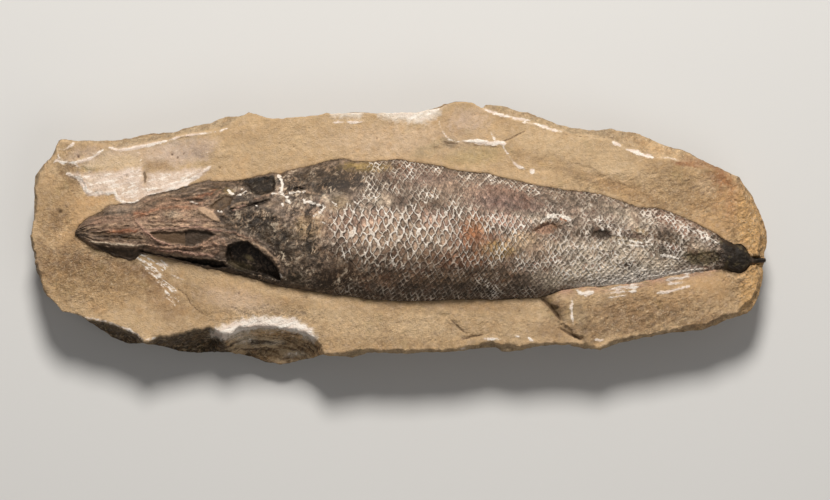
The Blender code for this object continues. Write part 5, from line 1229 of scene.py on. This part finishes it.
def dress_fish(surface, across, deep, settings):
    """Gives the fish its bones, hollows and scales, and paints it."""
    place = surface.place
    x = place[:, 0]
    edge_fade = smooth((1 - np.abs(across)) * deep / 2 / 1.2)
    headness = 1 - smooth((x + 25 + 3 * surface.ragged) / 9)
    grain = bony_grain(surface, across, headness)
    patches = rough(place, (6.0, 3.5), 116, 4, 0.6)
    paint_bone(surface, grain, patches, headness)
    fine, broad = (0.16 * headness + 0.10) * grain * edge_fade, 0.45 * headness * edge_fade * patches
    surface.height += fine + broad + 0.18 * (1 - headness) * rough(place, 5, 109, 3)
    raise_ridges(surface, grain)
    sunk, windows = sink_hollows(surface, grain, 0.7 * fine + broad)
    surface.smudges(HOLLOW_TINTS, 0.35)
    within_plate = depth_within(CHEEK_PLATE, place, 2) / 0.3
    plate = smooth(within_plate)
    surface.height += 0.6 * plate
    surface.paint(smooth(within_plate + 0.3), "sand", 0.95)
    scale_the_flank(surface, across, deep, edge_fade, settings)
    crumble_stub(surface, edge_fade)
    surface.strokes("ivory", IVORY, fray=0.6, reach=1.1)
    surface.height += 0.22 * smooth(surface.field("ivory") * 2.4 - 0.9)
    surface.fields["crumbs"] *= 1 - 0.7 * sunk
    surface.fields["calm"] = np.maximum(windows, 0.75 * plate)
    bone = headness * (1 - 0.6 * smooth((x + 51) / 6)) * (1 - 0.5 * smooth((-76 - x) / 5))
    surface.fields["bone"] = (1 - sunk) * (1 - plate) * bone
    paint_edges(surface, across, deep)


def scale_the_flank(surface, across, deep, edge_fade, settings):
    """Lays the scales over the flank, and notes for the finish where their rims run and how they show."""
    place = surface.place
    x, y = place.T
    start = table_value(SCALES_BEGIN, y)
    scaled = smooth((x - start + 3.5 * surface.ragged) / 5.0)
    scaled *= 1 - smooth((x - 91 + 2 * surface.ragged) / 4)
    show = 0.62 * (1 + 1.5 * rough(place, 6, 81, 4, 0.65))
    for *shape, amount in RIM_SHOW:
        show = show + 1.2 * amount * surface.smudge(shape, 0.5)
    tail = smooth((x - 32 + 4 * surface.ragged) / 24)
    show = np.clip(show, 0.06, 1.3) * scaled * (1 - 0.08 * tail)
    zone = smooth((np.abs(across + 0.03) - 0.46 + 0.07 * surface.ragged) / 0.10) * (1 - smooth((x - 24) / 8))
    loose = 0.20 + 0.12 * tail
    s, t = shaken_lattice(place, scale_lattice(x, across, deep / 2, 1.0), loose, 120)
    s2, t2 = shaken_lattice(place, scale_lattice(x, across, deep / 2, 1.45), loose, 150)
    wide = 0.092 + 0.013 * smooth((x - 8) / 30) + 0.055 * tail
    surface.fields.update(s=s, t=t, s2=s2, t2=t2, zone=zone, wide=wide, show=show, scaled=scaled)
    dull = tail * scaled * (1 - 0.8 * surface.smudge(PALE_STRIP))
    surface.paint(dull * smooth(0.2 + 2.4 * rough(place, 4, 83, 4, 0.6)), "char", 0.42)
    crumbs = 0.55 + 0.6 * rough(place, 6, 127, 3)
    crumbs = crumbs * (1 - smooth((x + 8) / 12)) * smooth((x + 52 + 3 * surface.ragged) / 8)
    for *shape, amount in CRUMBLED:
        crumbs = crumbs + amount * surface.smudge(shape)
    surface.fields["crumbs"] = np.clip(crumbs, 0, 1) * (1 - 0.6 * scaled)
    relief = settings.scale_relief / MM * (0.5 + 0.5 * show) * scaled * (1 - 0.3 * tail)
    surface.height += relief * edge_fade * (scale_relief(s, t) * (1 - zone) + scale_relief(s2, t2) * zone)


# ---- materials ----
class Nodes:
    """Short names for the shader nodes that the finishes use."""

    def __init__(self, name):
        self.material = bpy.data.materials.new(name)
        self.material.use_nodes = True
        self.tree = self.material.node_tree
        self.shader = self.tree.nodes["Principled BSDF"]
        self.spot = self.add("ShaderNodeTexCoord").outputs["Object"]

    def add(self, kind, **values):
        node = self.tree.nodes.new(kind)
        for name, value in values.items():
            setattr(node, name, value)
        return node

    def plug(self, socket, value):
        if isinstance(value, bpy.types.NodeSocket):
            self.tree.links.new(value, socket)
        elif value is not None:
            socket.default_value = value

    def fill(self, node, **values):
        """Plugs each value into the node's socket of that name, with _ for a space."""
        for name, value in values.items():
            self.plug(node.inputs[name.replace("_", " ")], value)
        return node

    def line_up(self, node, *values):
        """Plugs the values into the node's first sockets."""
        for socket, value in zip(node.inputs, values):
            self.plug(socket, value)
        return node

    def math(self, operation, *values, clamp=False):
        node = self.add("ShaderNodeMath", operation=operation, use_clamp=clamp)
        return self.line_up(node, *values).outputs[0]

    def times(self, *values):
        product = values[0]
        for value in values[1:]:
            product = self.math("MULTIPLY", product, value)
        return product

    def total(self, *values):
        summed = values[0]
        for value in values[1:]:
            summed = self.math("ADD", summed, value)
        return summed

    def linear(self, value, slope, start, clamp=False):
        return self.math("MULTIPLY_ADD", value, slope, start, clamp=clamp)

    def centred(self, value):
        return self.math("SUBTRACT", value, 0.5)

    def rest(self, value):
        return self.math("SUBTRACT", 1.0, value)

    def blend(self, share, a, b):
        return self.total(self.times(share, b), self.times(self.rest(share), a))

    def step(self, value, start, end):
        """0 at start and before it, 1 at end and past it, smooth between."""
        node = self.add("ShaderNodeMapRange", interpolation_type="SMOOTHSTEP")
        return self.fill(node, Value=value, From_Min=start, From_Max=end).outputs["Result"]

    def range(self, value, start, end, low, high):
        """low at start and before it, high at end and past it, even between."""
        node = self.fill(self.add("ShaderNodeMapRange"), Value=value, From_Min=start, From_Max=end)
        return self.fill(node, To_Min=low, To_Max=high).outputs["Result"]

    def mix(self, share, a, b, blend="MIX"):
        node = self.add("ShaderNodeMix", data_type="RGBA", blend_type=blend)
        for socket, value in zip((0, 6, 7), (share, a, b)):
            self.plug(node.inputs[socket], value)
        return node.outputs[2]

    def over(self, base, tone, *shares):
        """A tone laid over the base, as far as the product of the shares."""
        return self.mix(self.times(*shares), base, opaque(tone))

    def shade(self, base, factor, share=1.0):
        """The base multiplied by a factor, as far as share."""
        return self.mix(share, base, factor, "MULTIPLY")

    def turned(self, spot, stretch, turn):
        """Places for a pattern that is stretched along each axis and turned by so many degrees."""
        node = self.add("ShaderNodeMapping", vector_type="TEXTURE")
        return self.fill(node, Vector=spot, Scale=stretch, Rotation=(0.0, 0.0, math.radians(turn))).outputs[0]

    def noise(self, size_mm, detail=3.0, roughness=0.6, warp=0.0, stretch=None, turn=0.0):
        """Noise from about 0.2 to 0.8 with features size_mm across, or stretched and turned."""
        spot = self.turned(self.spot, stretch, turn) if stretch else self.spot
        node = self.fill(self.add("ShaderNodeTexNoise"), Vector=spot, Scale=1000 / size_mm, Detail=detail)
        return self.fill(node, Roughness=roughness, Distortion=warp).outputs["Fac"]

    def luck(self, a, b, seed):
        """A number from 0 to 1 that stays the same wherever a and b do."""
        both = self.line_up(self.add("ShaderNodeCombineXYZ"), a, b, seed).outputs[0]
        node = self.add("ShaderNodeTexWhiteNoise", noise_dimensions="3D")
        return self.fill(node, Vector=both).outputs["Value"]

    def rims(self, s, t, wide, along):
        """1 on the lines between scales, moved by a share of their width and rounded where they meet."""
        s, t = self.linear(wide, along, s), self.linear(wide, -along, t)
        parts = [self.math("FRACT", turn) for turn in (s, t)]
        cell = self.luck(self.math("FLOOR", s), self.math("FLOOR", t), 8.0)
        row = self.luck(self.math("FLOOR", self.math("SUBTRACT", s, t)), 0.0, 5.0)
        away = self.math("SMOOTH_MIN", *(self.math("MINIMUM", part, self.rest(part)) for part in parts), 0.28)
        rim = self.step(self.math("DIVIDE", away, self.times(wide, self.linear(cell, 0.8, 0.6))), 0.35, 1.6)
        row = self.blend(self.step(wide, 0.11, 0.18), 1.0, self.range(row, 0.0, 1.0, 0.5, 1.25))
        return self.times(self.rest(rim), self.range(self.total(*parts), 0.1, 1.9, 1.1, 0.7), row)

    def scales(self, s, t, wide):
        """The scales' rims, the shadow beside each rim, and each scale's tone, random and with painted shade
        towards its upper end.
        """
        chance = self.luck(self.math("FLOOR", s), self.math("FLOOR", t), 3.0)
        low = self.total(self.math("FRACT", s), self.math("FRACT", t))
        # painted shade: each scale darker towards its upper end, under the rims above it
        tone = self.times(self.range(chance, 0.0, 1.0, 0.62, 1.25), self.range(low, 0.2, 1.9, 1.10, 0.78))
        return self.rims(s, t, wide, 0.4), self.rims(s, t, wide, -1.5), tone

    def shards(self, size_mm, stretch, turn):
        """Broken plates: a number that differs from one to the next, and 1 on the lines between them."""
        noise = self.fill(self.add("ShaderNodeTexNoise"), Vector=self.spot, Scale=400.0)
        warp = self.add("ShaderNodeVectorMath", operation="MULTIPLY_ADD")
        self.line_up(warp, noise.outputs["Color"], (0.0016, 0.0016, 0.0), self.spot)
        spot = self.turned(warp.outputs[0], stretch, turn)
        cells, edges = (
            self.fill(self.add("ShaderNodeTexVoronoi", feature=feature), Vector=spot, Scale=1000 / size_mm)
            for feature in ("F1", "DISTANCE_TO_EDGE")
        )
        return cells.outputs["Color"], self.rest(self.step(edges.outputs["Distance"], 0.02, 0.16))

    def layers(self, depth, thick_mm, long_mm):
        """Beds of rock, thin across the depth given in millimetres and long the other way."""
        spot = self.line_up(self.add("ShaderNodeSeparateXYZ"), self.spot)
        where = self.add("ShaderNodeCombineXYZ")
        self.line_up(where, self.times(spot.outputs[0], 1000 / long_mm), self.times(depth, 1 / thick_mm))
        noise = self.fill(self.add("ShaderNodeTexNoise"), Vector=where.outputs[0], Scale=1.0, Detail=4.0)
        return noise.outputs["Fac"]

    def field(self, name, output="Fac"):
        return self.add("ShaderNodeAttribute", attribute_name=name).outputs[output]

    def bump(self, height, distance_mm, strength):
        node = self.add("ShaderNodeBump")
        return self.fill(node, Strength=strength, Distance=distance_mm * MM, Height=height).outputs["Normal"]

    def finish(self, base, rough_value, normal=None, specular=None):
        self.fill(self.shader, Base_Color=base, Roughness=rough_value, Normal=normal)
        self.fill(self.shader, Specular_IOR_Level=specular)
        return self.material


def limestone(settings):
    """Tan limestone: mottled and grained, with white calcite and dark cracks."""
    n = Nodes("limestone")
    calcite = (*settings.calcite, 1.0)
    coarse, layer = n.field("coarse"), n.field("layer")
    broad, fine, grit = n.noise(7, 4, 0.65), n.noise(1.9, 4, 0.74), n.noise(0.6, 3, 0.7)
    rays = n.noise(1.3, 4, 0.7, 0.5, (2.6, 0.8, 1.0), 26)
    rougher = n.linear(coarse, 1.05, 0.45)
    grains = (n.linear(n.centred(grain), rougher, 1.0) for grain in (fine, grit))
    base = n.shade(n.field("tint", "Color"), n.times(n.range(broad, 0.3, 0.7, 0.82, 0.98), *grains))
    base = n.shade(base, n.range(rays, 0.3, 0.7, 0.74, 1.25), n.linear(coarse, 0.75, 0.0, clamp=True))
    hue = n.noise(1.6, 3, 0.7)
    for tone, where, share in (
        ("honey", n.step(n.noise(4.5, 4, 0.65, 0.4), 0.52, 0.74), 0.25),
        ("honey", n.step(hue, 0.5, 0.68), 0.24),
        ("shell", n.step(hue, 0.5, 0.32), 0.14),
        ("olive", n.step(n.noise(6.0, 4, 0.65, 0.3), 0.55, 0.75), 0.22),
    ):
        base = n.over(base, tone, where, share)
    blotch = n.noise(2.4, 4, 0.75, 0.3)
    for tone, where, by_coarse, least in (
        ("soil", n.step(blotch, 0.52, 0.64), 0.36, 0.05),
        ("pale_tan", n.step(blotch, 0.47, 0.36), 0.26, 0.05),
        ("umber", n.step(n.noise(0.9, 4, 0.75), 0.57, 0.70), 0.46, 0.05),
        ("cream", n.step(n.noise(0.8, 2, 0.6), 0.60, 0.70), 0.28, 0.10),
    ):
        base = n.over(base, tone, where, n.linear(coarse, by_coarse, least, clamp=True))
    layers = n.layers(n.field("fall"), 0.8, 9.0)
    base = n.over(base, "pale_tan", n.step(layers, 0.50, 0.60), layer, 0.85)
    base = n.over(base, "shadow", n.step(layers, 0.48, 0.40), layer, 0.80)
    crack = n.linear(n.noise(0.8, 3, 0.7), 0.36, n.linear(n.field("crack"), 1.0, -0.18))
    dark = n.mix(0.5, opaque("umber"), opaque("shadow"))
    base = n.mix(n.times(n.step(crack, 0.36, 0.62), 0.75), base, dark)
    ragged = n.total(n.noise(2.1, 4, 0.75), n.times(n.noise(1.0, 4, 0.7, 0.0, (3.0, 0.7, 1.0), 16), 0.8))
    white = n.total(n.field("calcite"), ragged, -0.93)
    base = n.over(base, "cream", n.step(white, 0.20, 0.60), 0.30)
    streaks = n.step(n.noise(1.7, 4, 0.7, 0.0, (4.2, 0.8, 1.0), 14), 0.36, 0.62)
    chalk = n.over(calcite, "shell", streaks, 0.85)
    chalk = n.over(chalk, "brown", n.step(n.noise(0.7, 3, 0.7), 0.60, 0.70), 0.30)
    base = n.mix(n.times(n.step(white, 0.44, 0.60), 0.94), base, chalk)
    bristle = n.step(n.noise(1.0, 2, 0.6, 0.15, (4.2, 0.6, 1.0), -36), 0.55, 0.62)
    base = n.mix(n.times(bristle, n.step(n.field("fan"), 0.3, 0.8), 0.9), base, calcite)
    height = n.total(n.times(fine, 0.7), n.times(grit, 0.55), n.times(n.noise(0.3, 2, 0.6), 0.22))
    height = n.times(n.total(height, n.times(rays, coarse, 0.7)), n.linear(coarse, 0.45, 0.65))
    return n.finish(base, n.range(fine, 0.3, 0.7, 0.78, 0.95), n.bump(height, 0.80, 0.9), 0.25)


def fossil_bone(settings):
    """Petrified fish: dark bone and scales with pale rims, a painted shadow beside each rim, and painted
    highlights where the rims show most.
    """
    n = Nodes("petrified_fish")
    show, bone, scaled, wide, crumbs = map(n.field, ("show", "bone", "scaled", "wide", "crumbs"))
    broad, fine, grit = n.noise(3.4, 4, 0.72), n.noise(1.1, 4, 0.75), n.noise(0.42, 2, 0.7)
    tint, lively = n.field("tint", "Color"), n.linear(n.field("calm"), -0.8, 1.0)
    mottle = n.times(n.range(broad, 0.3, 0.7, 0.68, 1.32), n.range(fine, 0.32, 0.68, 0.62, 1.38))
    mottle = n.times(mottle, n.range(grit, 0.3, 0.7, 0.72, 1.28))
    base = n.shade(tint, n.blend(lively, 1.0, mottle))
    plate, seam = n.shards(2.2, (2.6, 1.0, 1.0), 8)
    plates = n.times(n.range(plate, 0.0, 1.0, 0.68, 1.40), n.range(seam, 0.0, 1.0, 1.0, 0.66))
    base = n.shade(base, plates, n.times(bone, 0.85))
    strands = n.noise(1.0, 4, 0.7, 0.0, (4.0, 0.8, 1.0), 6)
    base = n.over(base, "sand", n.step(strands, 0.56, 0.68), bone, 0.60)
    base = n.over(base, "tar", n.step(strands, 0.44, 0.32), bone, 0.55)
    s, t, s2, t2 = (
        n.linear(n.times(n.centred(n.noise(size, 2, 0.6)), wide, wide), 42.0, n.field(name))
        for name, size in (("s", 1.1), ("t", 1.3), ("s2", 0.9), ("t2", 1.2))
    )
    middle, edges = n.scales(s, t, wide), n.scales(s2, t2, n.times(wide, 1.3))
    rims, shadow, cell = (n.blend(n.field("zone"), a, b) for a, b in zip(middle, edges))
    # each scale's tone, with painted shade towards its upper end
    base = n.shade(base, cell, scaled)
    fibres = n.noise(0.9, 3, 0.7, 0.0, (0.6, 2.0, 1.0), -12)
    base = n.shade(base, n.range(fibres, 0.34, 0.66, 0.72, 1.34), scaled)
    hue = n.noise(4.2, 3, 0.6, 0.4)
    base = n.over(base, "clay", n.step(hue, 0.50, 0.66), scaled, 0.14)
    base = n.over(base, "ash", n.step(hue, 0.46, 0.34), show, 0.35)
    uneven = n.noise(1.7, 4, 0.72)
    lit = n.total(rims, n.times(n.centred(n.noise(0.8, 3, 0.7)), n.linear(wide, 11.0, 0.45)))
    lit = n.times(n.step(lit, 0.22, 0.74), show, n.range(uneven, 0.36, 0.64, 0.10, 1.80))
    haze = n.times(n.step(uneven, 0.46, 0.64), show, n.range(wide, 0.10, 0.16, 0.34, 0.50))
    base = n.mix(n.times(haze, scaled), base, n.mix(n.step(hue, 0.42, 0.58), opaque("rose"), opaque("cream")))
    base = n.over(base, "tar", shadow, n.step(show, 0.0, 0.7), n.range(wide, 0.10, 0.16, 0.62, 0.34))
    specks = n.linear(n.centred(broad), 0.45, n.noise(2.1, 4, 0.72, 1.0, (0.8, 1.5, 1.0), -28))
    base = n.over(base, "tar", n.step(specks, 0.53, 0.40), crumbs, 0.9)
    pale = n.mix(n.step(hue, 0.44, 0.58), opaque("cream"), opaque("sand"))
    base = n.mix(n.times(n.step(specks, 0.54, 0.66), crumbs, 0.85), base, pale)
    curl = n.math("ABSOLUTE", n.centred(n.noise(3.2, 3, 0.55, 1.0, (0.8, 1.4, 1.0), -35)))
    base = n.over(base, "sand", n.step(curl, 0.026, 0.006), crumbs, n.step(broad, 0.44, 0.58), 0.75)
    # partly the rims' pale crust and partly painted highlight: where the rims show most they are whitened
    # towards calcite
    bright = n.times(n.step(show, 0.35, 1.15), n.range(n.noise(2.6, 3, 0.65), 0.38, 0.62, 0.15, 1.0))
    base = n.mix(lit, base, n.over(n.mix(0.55, tint, (*settings.scale_rims, 1.0)), "calcite", bright))
    dark = n.times(n.step(n.noise(0.75, 3, 0.72), 0.54, 0.66), n.linear(scaled, -0.05, 0.45))
    base = n.over(base, "tar", dark, lively, n.linear(lit, -0.8, 1.0))
    flecks = n.times(n.step(n.noise(0.65, 3, 0.7), 0.60, 0.70), n.linear(show, 0.45, 0.10, clamp=True))
    base = n.over(base, "cream", flecks, lively)
    ivory = n.linear(n.centred(n.noise(0.9, 3, 0.7)), 1.9, n.field("ivory"))
    base = n.over(base, "ivory", n.step(ivory, 0.42, 0.66), 0.9)
    height = n.total(n.times(fine, 0.6), n.times(grit, 0.35), n.times(rims, scaled, 0.55))
    height = n.total(height, n.times(strands, bone, 0.35), n.times(seam, bone, -0.35))
    return n.finish(base, n.range(broad, 0.3, 0.7, 0.50, 0.72), n.bump(height, 0.45, 0.95), 0.30)


# ---- settings ----
class NoduleSettings(bpy.types.PropertyGroup):
    face_level: FloatProperty(
        name="Face level", description="Height of the split face above the seat", default=0.019, unit="LENGTH"
    )
    narrowing: FloatProperty(
        name="Narrowing",
        description="How much narrower the back is than the face",
        default=0.42,
        subtype="FACTOR",
    )
    rim_points: IntProperty(name="Rim points", description="Points round the rim, an even number", default=1380)
    face_rows: IntProperty(name="Face rows", description="Rows of points from fish to rim", default=52)
    wall_rows: IntProperty(name="Wall rows", description="Rows of points from rim to seat", default=26)
    calcite: FloatVectorProperty(
        name="Calcite",
        description="Colour of the white veins and crusts",
        subtype="COLOR",
        default=tuple(colour("calcite")),
    )


class FishSettings(bpy.types.PropertyGroup):
    head_step: FloatProperty(
        name="Head step", description="Distance between points along the head", default=0.00026, unit="LENGTH"
    )
    flank_step: FloatProperty(
        name="Flank step",
        description="Distance between points along the scaled flank",
        default=0.00031,
        unit="LENGTH",
    )
    fish_rows: IntProperty(name="Rows", description="Points from the belly to the back", default=134)
    scale_relief: FloatProperty(
        name="Scale relief", description="How far the scales' rims stand up", default=0.00036, unit="LENGTH"
    )
    scale_rims: FloatVectorProperty(
        name="Scale rims",
        description="Colour of the scales' rims",
        subtype="COLOR",
        default=tuple(colour("rim")),
    )


class StageSettings(bpy.types.PropertyGroup):
    camera_height: FloatProperty(
        name="Camera height", description="Height of the camera above the face", default=0.75, unit="LENGTH"
    )
    view_width: FloatProperty(
        name="View width", description="Width of the view at the face", default=0.24153, unit="LENGTH"
    )
    key_power: FloatProperty(name="Key light", description="Power of this light", default=9.2, unit="POWER")
    floor_colour: FloatVectorProperty(
        name="Floor", description="Colour of the floor", subtype="COLOR", default=(0.62, 0.61, 0.59)
    )


# ---- operators ----
class FOSSIL_OT_nodule(bpy.types.Operator):
    """Build the split limestone nodule in place of its CAD solid"""

    bl_idname = "fossil.nodule"
    bl_label = "Nodule"

    def execute(self, context):
        settings = context.scene.fossil_nodule
        stone = build_nodule(settings)
        stone.data.materials.append(limestone(settings))
        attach(stone, "root")
        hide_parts("nodule")
        return {"FINISHED"}


class FOSSIL_OT_fish(bpy.types.Operator):
    """Build the petrified fish in place of its CAD solid"""

    bl_idname = "fossil.fish"
    bl_label = "Fish"

    def execute(self, context):
        settings = context.scene.fossil_fish
        fish = build_fish(settings)
        fish.data.materials.append(fossil_bone(settings))
        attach(fish, "root")
        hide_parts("fish")
        return {"FINISHED"}


def area_light(name, power, size, place):
    """A round light of so many metres across, aimed at the fossil."""
    lamp = bpy.data.lights.new(name, "AREA")
    lamp.energy, lamp.shape, lamp.size, lamp.color = power, "DISK", size, LIGHT_COLOUR
    made = bpy.data.objects.new(name, lamp)
    bpy.context.scene.collection.objects.link(made)
    made.location = place
    made.rotation_euler = (Vector(AIM) - Vector(place)).to_track_quat("-Z", "Y").to_euler()


class FOSSIL_OT_stage(bpy.types.Operator):
    """Add the pale floor, the soft lights and the camera that looks straight down"""

    bl_idname = "fossil.stage"
    bl_label = "Stage"

    def execute(self, context):
        scene = context.scene
        settings = scene.fossil_stage
        mesh = bpy.data.meshes.new("floor")
        corners = [(x * FLOOR_REACH, y * FLOOR_REACH, 0) for x, y in ((-1, -1), (1, -1), (1, 1), (-1, 1))]
        mesh.from_pydata(corners, [], [(0, 1, 2, 3)])
        mesh.materials.append(Nodes("floor_paper").finish((*settings.floor_colour, 1.0), 0.9))
        floor = bpy.data.objects.new("floor", mesh)
        scene.collection.objects.link(floor)
        floor.location.z = FLOOR_LEVEL
        scene.world = scene.world or bpy.data.worlds.new("studio")
        scene.world.use_nodes = True
        scene.view_settings.view_transform = "Standard"
        sky = scene.world.node_tree.nodes["Background"]
        sky.inputs[0].default_value, sky.inputs[1].default_value = SKY_COLOUR, SKY_STRENGTH
        area_light("key", settings.key_power, *KEY_LIGHT)
        area_light("fill", settings.key_power * FILL_SHARE, *FILL_LIGHT)
        lens = bpy.data.cameras.new("camera")
        lens.sensor_width, lens.clip_start = FILM_WIDTH, 0.01
        lens.lens = FILM_WIDTH * settings.camera_height / settings.view_width
        camera = bpy.data.objects.new("camera", lens)
        scene.collection.objects.link(camera)
        camera.location = (*VIEW_MIDDLE, scene.fossil_nodule.face_level + settings.camera_height)
        scene.camera = camera
        return {"FINISHED"}


class FOSSIL_PT_panel(bpy.types.Panel):
    """Lists the fossil's pieces and their settings"""

    bl_idname = "FOSSIL_PT_panel"
    bl_label = "Fossil Fish Nodule"
    bl_space_type = "VIEW_3D"
    bl_region_type = "UI"
    bl_category = "Fossil"

    def draw(self, context):
        for name in GROUPS:
            box = self.layout.box()
            box.operator(name.replace("_", "."))
            group = getattr(context.scene, name)
            for setting in group.__annotations__:
                box.prop(group, setting)


GROUPS = {"fossil_nodule": NoduleSettings, "fossil_fish": FishSettings, "fossil_stage": StageSettings}
CLASSES = (*GROUPS.values(), FOSSIL_OT_nodule, FOSSIL_OT_fish, FOSSIL_OT_stage, FOSSIL_PT_panel)


def register():
    for cls in CLASSES:
        bpy.utils.register_class(cls)
    for name, group in GROUPS.items():
        setattr(bpy.types.Scene, name, PointerProperty(type=group))


def unregister():
    for name in GROUPS:
        delattr(bpy.types.Scene, name)
    for cls in reversed(CLASSES):
        bpy.utils.unregister_class(cls)


def main():
    register()
    bpy.ops.fossil.nodule()
    bpy.ops.fossil.fish()
    bpy.ops.fossil.stage()
    bpy.context.view_layer.update()


if __name__ == "__main__":
    main()
